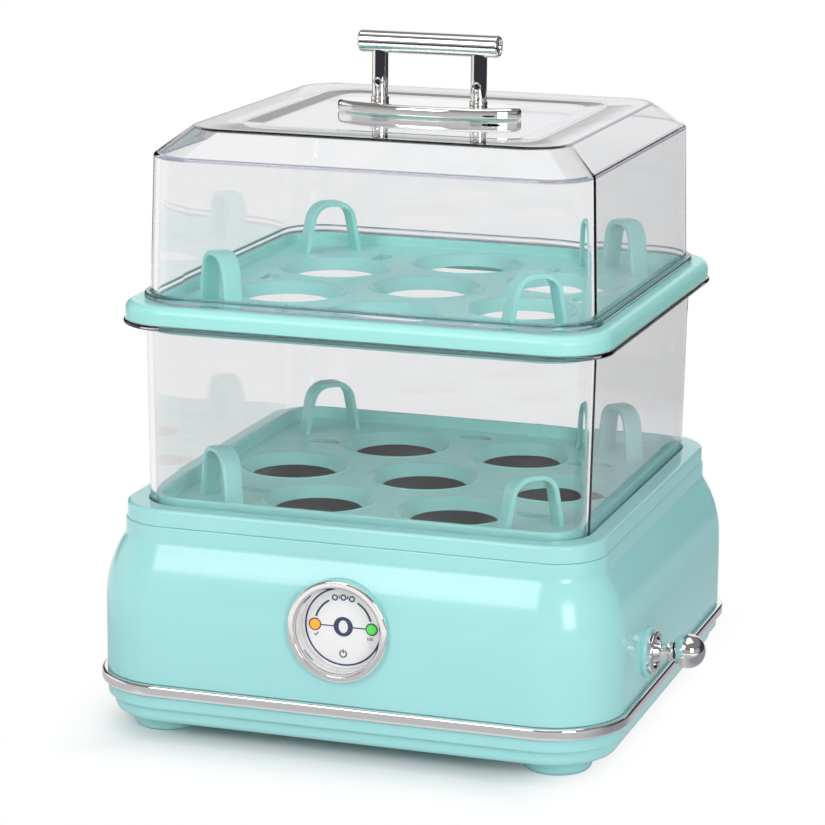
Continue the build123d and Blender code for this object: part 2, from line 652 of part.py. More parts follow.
# Lever switch: the body sits against the wall, its bush passes it, and a pin carries the lever in the bush
PIVOT = (BODY_HALF - PIVOT_IN, LEVER_Y, LEVER_Z)
BUSH_BACK_X = PIVOT[0] - LEVER_ROOT_R - ROOT_GAP
SWITCH_H = 2 * (LEVER_UP - LIP_H - SWITCH_GAP)
BLADE_END_X = HOUSING_IN - SWITCH_L - BLADE_L
TAIL_SWEEP = TAIL_R + TAIL_L * math.sin(math.radians(LEVER_TILT + LEVER_SWING / 2)) + TAIL_ROOM

with BuildPart() as lever_plate:
    tube(side(PAD_FRONT_X), LEVER_PLATE_R, LEVER_ROOT_R + PLATE_HOLE_GAP, LEVER_PLATE_T)
    chamfer(lever_plate.faces().sort_by(Axis.X)[-1].outer_wire().edges(), length=LEVER_PLATE_EDGE)
finish_part(lever_plate, "lever_plate")

with BuildPart() as power_switch:
    with BuildSketch(side(HOUSING_IN - SWITCH_L)):
        Rectangle(SWITCH_W, SWITCH_H)
    extrude(amount=SWITCH_L)
    round_bar(side(HOUSING_IN), BUSH_R, PAD_FRONT_X - HOUSING_IN)
    round_bar(side(BUSH_BACK_X), BUSH_IN_R, PAD_FRONT_X - BUSH_BACK_X, Mode.SUBTRACT)
    with BuildSketch(side(PIVOT[0] - TAIL_L - TAIL_ROOM)) as tail_slot:
        Rectangle(2 * (TAIL_R + TAIL_ROOM), 2 * TAIL_SWEEP)
    extrude(tail_slot.sketch, amount=TAIL_L + TAIL_ROOM - LEVER_ROOT_R, mode=Mode.SUBTRACT)
    with BuildSketch(front(LEVER_Y + BUSH_R, PIVOT[0], LEVER_Z)) as pin_hole:
        Circle(PIN_R + SOCKET_FIT)
    extrude(pin_hole.sketch, amount=2 * BUSH_R, mode=Mode.SUBTRACT)
    with BuildSketch(side(BLADE_END_X)) as blades:
        with GridLocations(SWITCH_W / 2, 0, 2, 1):
            Rectangle(BLADE_T, BLADE_W)
    extrude(blades.sketch, amount=BLADE_L)
finish_part(power_switch, "power_switch")

with BuildPart() as lever_pin:
    round_bar(front(LEVER_Y + BUSH_R, PIVOT[0], LEVER_Z), PIN_R, 2 * BUSH_R)
finish_part(lever_pin, "lever_pin")

LEVER_DIR = (math.cos(math.radians(LEVER_TILT)), 0, math.sin(math.radians(LEVER_TILT)))
with BuildPart() as lever:
    with BuildSketch(Plane(origin=PIVOT, x_dir=LEVER_DIR, z_dir=(0, -1, 0))):
        Circle(LEVER_ROOT_R)
        with Locations((BALL_AT, 0)):
            Circle(BALL_R)
        with Locations((BALL_AT / 2, 0)):
            Rectangle(BALL_AT, 2 * STEM_R)
        with Locations((-TAIL_L / 2, 0)):
            Rectangle(TAIL_L, 2 * TAIL_R)
        with Locations((BALL_AT / 2, BALL_R)):
            Rectangle(4 * BALL_AT, 2 * BALL_R, mode=Mode.INTERSECT)
    revolve(axis=Axis(PIVOT, LEVER_DIR))
    round_bar(front(LEVER_Y + BUSH_R, PIVOT[0], LEVER_Z), PIN_R + PIN_FIT, 2 * BUSH_R, Mode.SUBTRACT)
finish_part(lever, "lever")

# Cord inlet: a flanged gland with its nut inside, and the terminal block on the floor behind it
with BuildPart() as cord_gland:
    tube(GLAND_PLANE, GLAND_R, GLAND_BORE_R, GLAND_PROUD)
    tube(GLAND_PLANE, GLAND_BODY_R, GLAND_BORE_R, -GLAND_L)
finish_part(cord_gland, "cord_gland")

with BuildPart() as gland_nut:
    with BuildSketch(GLAND_PLANE.offset(-BASE_WALL)) as nut_outline:
        RegularPolygon(GLAND_NUT_R, 6)
        Circle(GLAND_BODY_R + GLAND_GAP, mode=Mode.SUBTRACT)
    extrude(nut_outline.sketch, amount=-GLAND_NUT_T)
finish_part(gland_nut, "gland_nut")

BLOCK_Y = LIP_HALF - LIP_T - BLOCK_INSET - BLOCK_W / 2
WAY_PITCH = BLOCK_L / BLOCK_WAYS
WELL_R = WAY_PITCH / 3
WELL_Z = COVER_FLOOR_Z + BLOCK_H / 2

with BuildPart() as terminal_block:
    with BuildSketch(level(GLAND_X, BLOCK_Y, COVER_FLOOR_Z)):
        Rectangle(BLOCK_L, BLOCK_W)
    extrude(amount=BLOCK_H)
    with BuildSketch(level(GLAND_X, BLOCK_Y, COVER_FLOOR_Z + BLOCK_H)) as wells:
        with GridLocations(WAY_PITCH, 0, BLOCK_WAYS, 1):
            Circle(WELL_R)
    extrude(wells.sketch, amount=-BLOCK_H / 2, mode=Mode.SUBTRACT)
finish_part(terminal_block, "terminal_block")


def bend_radii(points):
    """The radius of each bend, as large as its two runs allow."""
    radii = []
    for before, here, after in zip(points, points[1:], points[2:]):
        arrive = Vector(*here) - Vector(*before)
        leave = Vector(*after) - Vector(*here)
        half_turn = math.radians(arrive.get_angle(leave) / 2)
        radii.append(0.45 * min(arrive.length, leave.length) / math.tan(half_turn))
    return radii


def lead(*points):
    """Adds one insulated lead along straight runs and their bends."""
    with BuildLine() as route:
        FilletPolyline(*points, radius=bend_radii(points))
    with BuildSketch(Plane(origin=points[0], z_dir=route.line % 0)) as end:
        Circle(WIRE_R)
    sweep(end.sketch, path=route.line)


# Leads from the terminal block through the switch, the fuse, the thermostat and the element, and to the lamps
WAY_X = [GLAND_X - WAY_PITCH, GLAND_X, GLAND_X + WAY_PITCH]
THERMOSTAT_END_Y = THERMOSTAT_R + BLADE_L
BLADE_TOP_Z = DISH_Z - ELEMENT_H + BLADE_T
THERMOSTAT_LEAD_Z = BLADE_TOP_Z - BLADE_T / 2
BLADE_Y = SWITCH_W / 4
FUSE_TURN_X = FUSE_END_X + WIRE_RUN / 2
LOW_Z = WELL_Z + BLOCK_H

with BuildPart() as inner_leads:
    lead(
        (WAY_X[2], BLOCK_Y, WELL_Z),
        (WAY_X[2], BLOCK_Y, LOW_Z),
        (BLADE_END_X - WIRE_RUN, LEVER_Y + BLADE_Y, LEVER_Z),
        (BLADE_END_X, LEVER_Y + BLADE_Y, LEVER_Z),
    )
    lead(
        (BLADE_END_X, LEVER_Y - BLADE_Y, LEVER_Z),
        (BLADE_END_X - WIRE_RUN, LEVER_Y - BLADE_Y, LEVER_Z),
        (FUSE_TURN_X, -2 * WIRE_RUN, FUSE_Z - WIRE_RUN),
        (FUSE_TURN_X, 0, FUSE_Z),
        (FUSE_END_X, 0, FUSE_Z),
    )
    lead(
        (-FUSE_END_X, 0, FUSE_Z),
        (-FUSE_TURN_X, 0, FUSE_Z),
        (-FUSE_TURN_X, -THERMOSTAT_END_Y - WIRE_RUN, THERMOSTAT_LEAD_Z),
        (0, -THERMOSTAT_END_Y - WIRE_RUN, THERMOSTAT_LEAD_Z),
        (0, -THERMOSTAT_END_Y, THERMOSTAT_LEAD_Z),
    )
    lead(
        (0, THERMOSTAT_END_Y, THERMOSTAT_LEAD_Z),
        (0, THERMOSTAT_END_Y + WIRE_RUN, THERMOSTAT_LEAD_Z),
        (0, THERMOSTAT_END_Y + WIRE_RUN, PIN_Z - WIRE_RUN),
        (PIN_X, PIN_Y, PIN_Z - WIRE_RUN),
        (PIN_X, PIN_Y, PIN_Z),
    )
    lead(
        (-PIN_X, PIN_Y, PIN_Z),
        (-PIN_X, PIN_Y, LOW_Z),
        (WAY_X[0], BLOCK_Y, LOW_Z),
        (WAY_X[0], BLOCK_Y, WELL_Z),
    )
    for end_side in (-1, 1):
        lead(
            (end_side * LAMP_AT, TUBE_BACK_Y, DIAL_Z),
            (end_side * LAMP_AT, TUBE_BACK_Y + WIRE_RUN, DIAL_Z),
            (WAY_X[1] + end_side * WIRE_PITCH / 2, BLOCK_Y, LOW_Z),
            (WAY_X[1] + end_side * WIRE_PITCH / 2, BLOCK_Y, WELL_Z),
        )
finish_part(inner_leads, "inner_leads")

# Clear steam chamber: drafted walls with an out-turned flange on top
CHAMBER_TOP_R = CHAMBER_CORNER_R + CHAMBER_DRAFT
with BuildPart() as steam_chamber:
    taper((RECESS_Z, CHAMBER_FOOT_HALF, CHAMBER_CORNER_R), (RIM_Z, CHAMBER_TOP_HALF, CHAMBER_TOP_R))
    extrude(base_square(FLANGE_Z, FLANGE_HALF), amount=FLANGE_T)
    taper(
        (RECESS_Z, CHAMBER_FOOT_HALF - CHAMBER_WALL, CHAMBER_CORNER_R - CHAMBER_WALL),
        (RIM_Z, CHAMBER_TOP_HALF - CHAMBER_WALL, CHAMBER_TOP_R - CHAMBER_WALL),
        Mode.SUBTRACT,
    )
finish_part(steam_chamber, "steam_chamber")

# Lifting arch, used at each corner of both trays
with BuildPart() as tray_arch:
    with BuildSketch(Plane.YZ):
        with BuildLine():
            FilletPolyline(
                (-ARCH_FOOT / 2, -TRAY_T / 2),
                (-ARCH_TOP / 2, ARCH_H),
                (ARCH_TOP / 2, ARCH_H),
                (ARCH_FOOT / 2, -TRAY_T / 2),
                radius=ARCH_BEND_R,
            )
        trace(line_width=ARCH_T)
    extrude(amount=ARCH_W / 2, both=True)


def egg_seats(turned):
    """The seven seats' middles: rows of two, three and two, along X, or along Y when turned."""
    rows = [(-ROW_PITCH, 2), (0, 3), (ROW_PITCH, 2)]
    spots = [((i - (count - 1) / 2) * SEAT_PITCH, across) for across, count in rows for i in range(count)]
    return [(across, along) for along, across in spots] if turned else spots


def steam_slots(turned):
    """The half-moon slots' middles and the way their straight side faces, in degrees."""
    corner_x, corner_y = STEAM_SLOT_AT
    spots = [(sx * corner_x, sy * corner_y, 90 + 90 * sy) for sx, sy in CORNERS]
    spots += [(0, -STEAM_SLOT_MID, 0), (0, STEAM_SLOT_MID, 180)]
    return [(y, x, angle + 90) for x, y, angle in spots] if turned else spots


def seats_and_arches(floor_z, turned):
    """Cuts the egg seats and the steam slots in a tray floor and stands an arch at each corner."""
    with Locations(*[(x, y, floor_z - EGG_BOWL_H) for x, y in egg_seats(turned)]):
        Cone(EGG_HOLE_R + BOWL_WALL, EGG_TOP_R + BOWL_WALL, EGG_BOWL_H, align=FROM_BELOW)
    with Locations(*[(x, y, floor_z - EGG_BOWL_H) for x, y in egg_seats(turned)]):
        Cone(EGG_HOLE_R, EGG_TOP_R, EGG_BOWL_H, align=FROM_BELOW, mode=Mode.SUBTRACT)
    for x, y, angle in steam_slots(turned):
        slot_plane = Plane(origin=(x, y, floor_z), z_dir=(0, 0, 1)).rotated((0, 0, angle))
        with BuildSketch(slot_plane) as slot:
            Circle(STEAM_SLOT_R)
            with Locations((0, -STEAM_SLOT_R)):
                Rectangle(2 * STEAM_SLOT_R, 2 * STEAM_SLOT_R, mode=Mode.INTERSECT)
        extrude(slot.sketch, amount=-TRAY_T, mode=Mode.SUBTRACT)
    with Locations((0, 0, floor_z)):
        with PolarLocations(ARCH_AT * math.sqrt(2), 4, start_angle=45):
            add(tray_arch.part)


# Lower egg tray: stands in the base's recess, inside the chamber
LOWER_FLOOR_Z = RECESS_Z + TRAY_RISE
with BuildPart() as lower_tray:
    slab(RECESS_Z, LOWER_FLOOR_Z + TRAY_RIM_UP - RECESS_Z, TRAY_HALF, TRAY_CORNER_R)
    inner_half = TRAY_HALF - TRAY_RIM_W
    inner_r = TRAY_CORNER_R - TRAY_RIM_W
    slab(LOWER_FLOOR_Z, TRAY_RIM_UP, inner_half, inner_r, Mode.SUBTRACT)
    slab(RECESS_Z, TRAY_RISE - TRAY_T, inner_half, inner_r, Mode.SUBTRACT)
    seats_and_arches(LOWER_FLOOR_Z, False)
finish_part(lower_tray, "lower_tray")

# Upper egg tray: its rim caps the chamber's flange and its skirt centres it inside the chamber
UPPER_FLOOR_Z = RIM_TOP_Z - UPPER_SINK
SKIRT_R = CHAMBER_CORNER_R + CHAMBER_DRAFT - CHAMBER_WALL - UPPER_SKIRT_GAP
with BuildPart() as upper_tray:
    extrude(base_square(RIM_Z, RIM_HALF), amount=RIM_H)
    fillet(upper_tray.faces().sort_by(Axis.Z)[-1].edges(), radius=RIM_EDGE_R)
    extrude(base_square(RIM_Z, RIM_HALF - RIM_WALL), amount=RIM_H - RIM_WALL, mode=Mode.SUBTRACT)
    slab(RIM_TOP_Z - UPPER_SKIRT_H - RIM_WALL, UPPER_SKIRT_H + RIM_WALL, SKIRT_HALF, SKIRT_R)
    skirt_in = SKIRT_HALF - UPPER_SKIRT_T
    skirt_in_r = SKIRT_R - UPPER_SKIRT_T
    slab(UPPER_FLOOR_Z, UPPER_SINK, skirt_in, skirt_in_r, Mode.SUBTRACT)
    under_h = UPPER_SKIRT_H + RIM_WALL - UPPER_SINK - TRAY_T
    slab(RIM_TOP_Z - UPPER_SKIRT_H - RIM_WALL, under_h, skirt_in, skirt_in_r, Mode.SUBTRACT)
    seats_and_arches(UPPER_FLOOR_Z, True)
finish_part(upper_tray, "upper_tray")

# Clear lid: drafted walls, a sloped shoulder and a slightly sunken top panel with a steam vent
LID_FOOT_R = LID_CORNER_R + LID_DRAFT
with BuildPart() as lid:
    taper((RIM_TOP_Z, LID_FOOT_HALF, LID_FOOT_R), (SHOULDER_Z, LID_SHOULDER_HALF, LID_CORNER_R))
    taper((SHOULDER_Z, LID_SHOULDER_HALF, LID_CORNER_R), (LID_TOP_Z, LID_TOP_HALF, LID_TOP_R))
    slab(RIM_TOP_Z, LID_LIP_T, LID_FLANGE_HALF, LID_FOOT_R + LID_LIP)
    taper(
        (RIM_TOP_Z, LID_FOOT_HALF - LID_WALL, LID_FOOT_R - LID_WALL),
        (SHOULDER_Z - LID_WALL / 2, LID_SHOULDER_HALF - LID_WALL, LID_CORNER_R - LID_WALL),
        Mode.SUBTRACT,
    )
    taper(
        (SHOULDER_Z - LID_WALL / 2, LID_SHOULDER_HALF - LID_WALL, LID_CORNER_R - LID_WALL),
        (LID_TOP_Z - LID_WALL, LID_TOP_HALF - LID_WALL / 2, LID_TOP_R - LID_WALL / 2),
        Mode.SUBTRACT,
    )
    taper(
        (PANEL_Z, PANEL_HALF, PANEL_R),
        (LID_TOP_Z, PANEL_HALF + PANEL_RUN, PANEL_R + PANEL_RUN / 2),
        Mode.SUBTRACT,
    )
    round_bar(level(VENT_X, VENT_Y, LID_TOP_Z), VENT_R, -2 * LID_WALL, Mode.SUBTRACT)
    for x in (-POST_AT, POST_AT):
        round_bar(level(x, 0, LID_TOP_Z), POST_BORE_R + SCREW_FIT, -2 * LID_WALL, Mode.SUBTRACT)
finish_part(lid, "lid")

# Bar handle: an oval plate, two posts and a bar, screwed from under the lid
HANDLE_PLATE_TOP_Z = PANEL_Z + HANDLE_PLATE_T
BAR_Z = HANDLE_PLATE_TOP_Z + BAR_Z_OVER_PLATE
SET_SCREW_LEVEL = HANDLE_PLATE_TOP_Z + SET_SCREW_Z
LID_UNDER_Z = LID_TOP_Z - LID_WALL
HANDLE_SCREW_TIP_Z = HANDLE_PLATE_TOP_Z + POST_BORE_H - SCREW_FIT

with BuildPart() as handle_plate:
    with BuildSketch(level(0, 0, PANEL_Z)):
        Ellipse(HANDLE_PLATE_L / 2, HANDLE_PLATE_W / 2)
    extrude(amount=HANDLE_PLATE_T)
    fillet(handle_plate.faces().sort_by(Axis.Z)[-1].edges(), radius=HANDLE_PLATE_TOP_R)
    fillet(handle_plate.faces().sort_by(Axis.Z)[0].edges(), radius=HANDLE_PLATE_FOOT_R)
    for x in (-POST_AT, POST_AT):
        round_bar(level(x, 0, PANEL_Z), POST_BORE_R + SCREW_FIT, HANDLE_PLATE_T, Mode.SUBTRACT)
finish_part(handle_plate, "handle_plate")

for name, x in (("handle_post_left", -POST_AT), ("handle_post_right", POST_AT)):
    with BuildPart() as post:
        spot = level(x, 0, HANDLE_PLATE_TOP_Z)
        round_bar(spot, POST_R, BAR_Z - HANDLE_PLATE_TOP_Z)
        round_bar(spot, COLLAR_R, COLLAR_H)
        round_bar(spot, POST_BORE_R + SCREW_FIT, POST_BORE_H, Mode.SUBTRACT)
        round_bar(front(-POST_R + SET_SCREW_DEPTH, x, SET_SCREW_LEVEL), SET_SCREW_R, POST_R, Mode.SUBTRACT)
    finish_part(post, name)

with BuildPart() as handle_bar:
    round_bar(side(-BAR_L / 2, 0, BAR_Z), BAR_R, BAR_L)
    end_faces = handle_bar.faces().filter_by(GeomType.PLANE)
    chamfer(end_faces.edges(), length=BAR_EDGE)
    for x in (-POST_AT, POST_AT):
        round_bar(level(x, 0, BAR_Z), POST_R + SOCKET_FIT, -BAR_R, Mode.SUBTRACT)
finish_part(handle_bar, "handle_bar")

with BuildPart() as handle_set_screws:
    for x in (-POST_AT, POST_AT):
        start = front(-POST_R + SET_SCREW_DEPTH, x, SET_SCREW_LEVEL)
        round_bar(start, SET_SCREW_R - SOCKET_FIT, SET_SCREW_DEPTH - SET_SCREW_SINK)
finish_part(handle_set_screws, "handle_set_screws")

with BuildPart() as handle_washers:
    for x in (-POST_AT, POST_AT):
        tube(level(x, 0, LID_UNDER_Z - WASHER_T), WASHER_R, POST_BORE_R + SCREW_FIT, WASHER_T)
finish_part(handle_washers, "handle_washers")

with BuildPart() as handle_screws:
    for x in (-POST_AT, POST_AT):
        head_z = LID_UNDER_Z - WASHER_T - HANDLE_SCREW_HEAD_H
        round_bar(level(x, 0, head_z), HANDLE_SCREW_HEAD_R, HANDLE_SCREW_HEAD_H)
        round_bar(level(x, 0, head_z), POST_BORE_R, HANDLE_SCREW_TIP_Z - head_z)
finish_part(handle_screws, "handle_screws")

print(len(PARTS), "pieces written")
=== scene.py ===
"""The look of a two-tier electric egg cooker: aqua and clear mouldings, chrome, the dial and a plain studio."""

import logging
import math
from dataclasses import dataclass
from enum import Enum
from functools import cache
from typing import Mapping, Sequence

import bmesh
import bpy
from bmesh.types import BMEdge, BMesh
from mathutils import Matrix, Vector


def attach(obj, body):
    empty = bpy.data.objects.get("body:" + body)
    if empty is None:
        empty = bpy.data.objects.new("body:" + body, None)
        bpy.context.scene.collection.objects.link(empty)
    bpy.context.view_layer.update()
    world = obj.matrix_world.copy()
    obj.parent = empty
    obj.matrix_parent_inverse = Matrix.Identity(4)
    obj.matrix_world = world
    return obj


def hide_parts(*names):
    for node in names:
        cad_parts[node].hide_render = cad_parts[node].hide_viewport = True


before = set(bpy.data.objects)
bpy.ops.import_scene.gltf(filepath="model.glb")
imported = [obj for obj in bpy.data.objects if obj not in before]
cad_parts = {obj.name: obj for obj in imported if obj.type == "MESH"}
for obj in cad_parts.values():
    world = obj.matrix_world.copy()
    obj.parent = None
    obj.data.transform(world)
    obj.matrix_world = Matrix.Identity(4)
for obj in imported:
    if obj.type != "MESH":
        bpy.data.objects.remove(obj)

LOG = logging.getLogger("egg_cooker")
Pair = tuple[float, float]
Triple = tuple[float, float, float]
Rows = Sequence[tuple[float, ...]]
Colour = Triple
Socket = bpy.types.NodeSocket

# How finely shapes are made.
MM = 0.001
CORNER_STEPS = 14
ROUND_STEPS = 64
BALL_STEPS = (48, 32)
BEND_STEPS = 12
FLARE_STEPS = 10
ARC_STEPS = 12
SOFT_STEPS, WIDE_SOFT_STEPS, WIDE_SOFT = 4, 7, 1.5
LEVEL_GAP = 10.0
MERGE_WITHIN = 0.0005
SHARP_ANGLE = math.radians(32)
# The face attribute that marks rounded-edge faces. Clear finishes paint shade on these faces.
EDGE = "rounded_edge"

# The driving dimensions that sub-assemblies share, in millimetres. The first four say how far the centres
# of a rounded square's corners lie from the axis, along both sides.
BODY = 66.5
CLEAR = 62.8
WELL = 47.4
MOUTH = 44.4
BODY_TOP = 73.5
CHAMBER_FOOT = 74.0
CHAMBER_TOP = 142.6
BRIM_TOP = 149.0
WALL = 2.0
DIAL_Z = 46.0
DIAL_R = 17.6
LEVER_YZ = (-39.0, 33.2)
POST_AT = 17.9
PAD_FACE = 93.8
INK_T = 0.05
CORNERS = ((1, 1), (-1, 1), (-1, -1), (1, -1))

WHITE: Colour = (1.0, 1.0, 1.0)


def srgb(red: int, green: int, blue: int) -> Colour:
    """Turns a screen colour of 0 to 255 into the linear colour that a shader takes."""
    return tuple(((c / 255 + 0.055) / 1.055) ** 2.4 if c > 10 else c / 3294.6 for c in (red, green, blue))


class Value:
    """An output of the node tree, with the operators of plain numbers."""

    def __init__(self, recipe: "Recipe", socket: Socket) -> None:
        """Keeps the socket and the recipe that its sums are added to."""
        self.recipe = recipe
        self.socket = socket

    def _sum(self, operation: str, *operands: "Value | float") -> "Value":
        """Adds one Math node on these operands."""
        made = self.recipe.node("ShaderNodeMath", dict(enumerate(operands)), operation=operation)
        return Value(self.recipe, made.outputs[0])

    def __add__(self, other: "Value | float") -> "Value":
        """This plus another, in either order."""
        return self._sum("ADD", self, other)

    def __mul__(self, other: "Value | float") -> "Value":
        """This times another, in either order."""
        return self._sum("MULTIPLY", self, other)

    __radd__ = __add__
    __rmul__ = __mul__

    def __sub__(self, other: "Value | float") -> "Value":
        """This less another."""
        return self._sum("SUBTRACT", self, other)

    def __rsub__(self, other: float) -> "Value":
        """A number less this."""
        return self._sum("SUBTRACT", other, self)

    def __neg__(self) -> "Value":
        """This with its sign turned."""
        return self * -1.0

    def above(self, low: float, high: float) -> "Value":
        """A soft step.

        Args:
            low: where the step leaves 0.
            high: where it reaches 1.

        Returns:
            The step of this value.
        """
        limits = {"Value": self, "From Min": low, "From Max": high}
        made = self.recipe.node("ShaderNodeMapRange", limits, interpolation_type="SMOOTHSTEP")
        return Value(self.recipe, made.outputs[0])

    def most(self, other: "Value | float") -> "Value":
        """The larger of this and another."""
        return self._sum("MAXIMUM", self, other)


class Recipe:
    """The node tree of one material or of the world."""

    def __init__(self, tree: bpy.types.NodeTree) -> None:
        """Empties the tree."""
        self.tree = tree
        self.tree.nodes.clear()

    def node(self, kind: str, inputs: Mapping[str | int, object], **settings: object) -> bpy.types.Node:
        """Makes one node.

        Args:
            kind: the node's type.
            inputs: values or links of its sockets, by name or place.
            settings: what is set on the node first; stops are a ramp's places and colours.

        Returns:
            The new node.
        """
        made = self.tree.nodes.new(kind)
        stops = settings.pop("stops", ())
        for key, value in settings.items():
            setattr(made, key, value)
        if stops:
            ramp = made.color_ramp.elements
            while len(ramp) < len(stops):
                ramp.new(0.5)
            for stop, (place, colour) in zip(ramp, stops):
                stop.position = place
                stop.color = (*colour, 1.0)
        for key, value in inputs.items():
            socket = made.inputs[key]
            if isinstance(value, Value):
                self.tree.links.new(value.socket, socket)
            elif isinstance(value, Socket):
                self.tree.links.new(value, socket)
            else:
                socket.default_value = (*value, 1.0) if socket.type == "RGBA" else value
        return made

    def place(self) -> Socket:
        """The Object coordinate."""
        return self.node("ShaderNodeTexCoord", {}).outputs["Object"]

    def split(self, vector: Socket) -> list[Value]:
        """A vector's three parts."""
        return [Value(self, part) for part in self.node("ShaderNodeSeparateXYZ", {0: vector}).outputs]

    def noise(self, scale: float, detail: float = 2.0) -> Value:
        """Cloudy variation from 0 to 1, with this many clouds in a metre and this much finer detail."""
        inputs = {"Vector": self.place(), "Scale": scale, "Detail": detail}
        return Value(self, self.node("ShaderNodeTexNoise", inputs).outputs[0])

    def blend(self, mask: Value, low: Colour | Socket, high: Colour | Socket) -> Socket:
        """Mixes two colours: a mask of 0 gives the low one, and 1 the high one."""
        return self.node("ShaderNodeMix", {0: mask, 6: low, 7: high}, data_type="RGBA").outputs[2]

    def mix(self, mask: Value | Socket, first: Socket, second: Socket) -> Socket:
        """Mixes two shaders: a mask of 0 gives the first, and 1 the second."""
        return self.node("ShaderNodeMixShader", {0: mask, 1: first, 2: second}).outputs[0]

    def bump(self, height: Value, distance: float) -> Socket:
        """A bumped normal from a height of 0 to 1, its distance in metres."""
        return self.node("ShaderNodeBump", {"Height": height, "Distance": distance}).outputs[0]

    def glow(self, colour: Colour) -> Socket:
        """A shader that shines in a colour at a strength of 1."""
        return self.node("ShaderNodeEmission", {"Color": colour}).outputs[0]

    def shader(self, inputs: Mapping[str, object]) -> Socket:
        """A Principled shader with these sockets set."""
        return self.node("ShaderNodeBsdfPrincipled", inputs).outputs[0]

    def finish(self, surface: Socket) -> None:
        """Joins the shader to the material's output."""
        self.node("ShaderNodeOutputMaterial", {"Surface": surface})


@dataclass(frozen=True)
class Finish:
    """What every finish shares.

    Attributes:
        name: its material's name.
        colour: its main colour.
        roughness: how rough it is on the whole.
        slot: the record's material slot of the pieces that are made here in it; not used here.
        sway: how much its roughness varies.
        relief: how high its grain stands, in metres.
    """

    name: str
    colour: Colour
    roughness: float = 0.3
    slot: str = ""
    sway: float = 0.05
    relief: float = 0.0

    def tint(self, factor: float) -> Colour:
        """The colour, paler or deeper by a factor."""
        return tuple(min(1.0, c * factor) for c in self.colour)

    def surface(self, recipe: Recipe, inputs: dict[str, object], grain: Value) -> None:
        """Joins a shader whose roughness and relief follow a grain.

        Args:
            recipe: the material's nodes.
            inputs: the shader's other sockets.
            grain: the grain, from 0 to 1.
        """
        inputs["Roughness"] = self.roughness + (grain - 0.5) * self.sway
        if self.relief:
            inputs["Normal"] = recipe.bump(grain, self.relief)
        recipe.finish(recipe.shader(inputs))

    def dress(self, recipe: Recipe) -> None:
        """Fills the material's nodes; each finish has its own."""
        raise NotImplementedError

    @cache
    def material(self) -> bpy.types.Material:
        """Makes the finish's material at its first use.

        Returns:
            The material.
        """
        made = bpy.data.materials.new(self.name)
        made.use_nodes = True
        self.dress(Recipe(made.node_tree))
        return made


@dataclass(frozen=True)
class Moulded(Finish):
    """Moulded plastic: an even colour with a faint flow, a soft skin and, where glossy, a clear coat."""

    coat: float = 0.0
    coat_roughness: float = 0.09
    flow: float = 14.0
    grain: float = 700.0
    relief: float = 0.000012

    def dress(self, recipe: Recipe) -> None:
        """Faint clouds in the colour, finer ones in the gloss and a shallow relief."""
        flow = recipe.noise(self.flow, 3.0).above(0.3, 0.7)
        self.surface(recipe, {
            "Base Color": recipe.blend(flow, self.tint(0.97), self.tint(1.02)), "Coat Weight": self.coat,
            "Coat Roughness": self.coat_roughness, "Specular IOR Level": 0.4,
        }, recipe.noise(self.grain))


@dataclass(frozen=True)
class ClearMoulded(Finish):
    """Clear moulded plastic, a little grey, with painted shade on its rounded edges and at grazing angles, that
    lets lamps through.
    """

    # The colour of the painted shade. It stands in for the darkening of bent light at rounded edges and at
    # grazing angles.
    edge: Colour = (0.3, 0.3, 0.4)
    ior: float = 1.46
    passing: Colour = (0.96, 0.96, 0.965)
    sway: float = 0.01

    def dress(self, recipe: Recipe) -> None:
        """Clear plastic for sight, with painted shade at grazing angles and on rounded edges, and a tinted pass
        for the lamps' rays.

        Args:
            recipe: the material's nodes.
        """
        # Painted shade: the colour turns towards edge at grazing angles (rim) and on the rounded-edge faces
        # (bend).
        rim = Value(recipe, recipe.node("ShaderNodeLayerWeight", {"Blend": 0.35}).outputs["Facing"])
        bend = Value(recipe, recipe.node("ShaderNodeAttribute", {}, attribute_name=EDGE).outputs["Fac"])
        haze = recipe.noise(60.0, 3.0)
        clear = recipe.shader({
            "Base Color": recipe.blend(rim.above(0.6, 1.0).most(bend * 0.8), self.colour, self.edge),
            "Roughness": self.roughness + haze.above(0.4, 0.8) * self.sway,
            "Transmission Weight": 1.0,
            "IOR": self.ior,
            "Specular IOR Level": 0.3,
        })
        passed = recipe.node("ShaderNodeBsdfTransparent", {"Color": self.passing}).outputs[0]
        lamp = recipe.node("ShaderNodeLightPath", {}).outputs["Is Shadow Ray"]
        recipe.finish(recipe.mix(lamp, clear, passed))


@dataclass(frozen=True)
class Plated(Finish):
    """Bright plating with the faintest polish marks."""

    sway: float = 0.03

    def dress(self, recipe: Recipe) -> None:
        """A mirror with soft smudges in its roughness."""
        smudge = recipe.noise(45.0, 4.0)
        recipe.finish(recipe.shader({
            "Base Color": recipe.blend(smudge, self.colour, self.tint(0.96)),
            "Metallic": 1.0,
            "Roughness": self.roughness + smudge.above(0.45, 0.8) * self.sway,
        }))


@dataclass(frozen=True)
class BareMetal(Finish):
    """Zinc plated, pressed or cast metal."""

    grain: float = 260.0
    relief: float = 0.00003
    sway: float = 0.2

    def dress(self, recipe: Recipe) -> None:
        """Patchy gloss and a fine relief."""
        patchy = recipe.blend(recipe.noise(90.0, 4.0), self.colour, self.tint(0.8))
        self.surface(recipe, {"Base Color": patchy, "Metallic": 1.0}, recipe.noise(self.grain, 3.0))


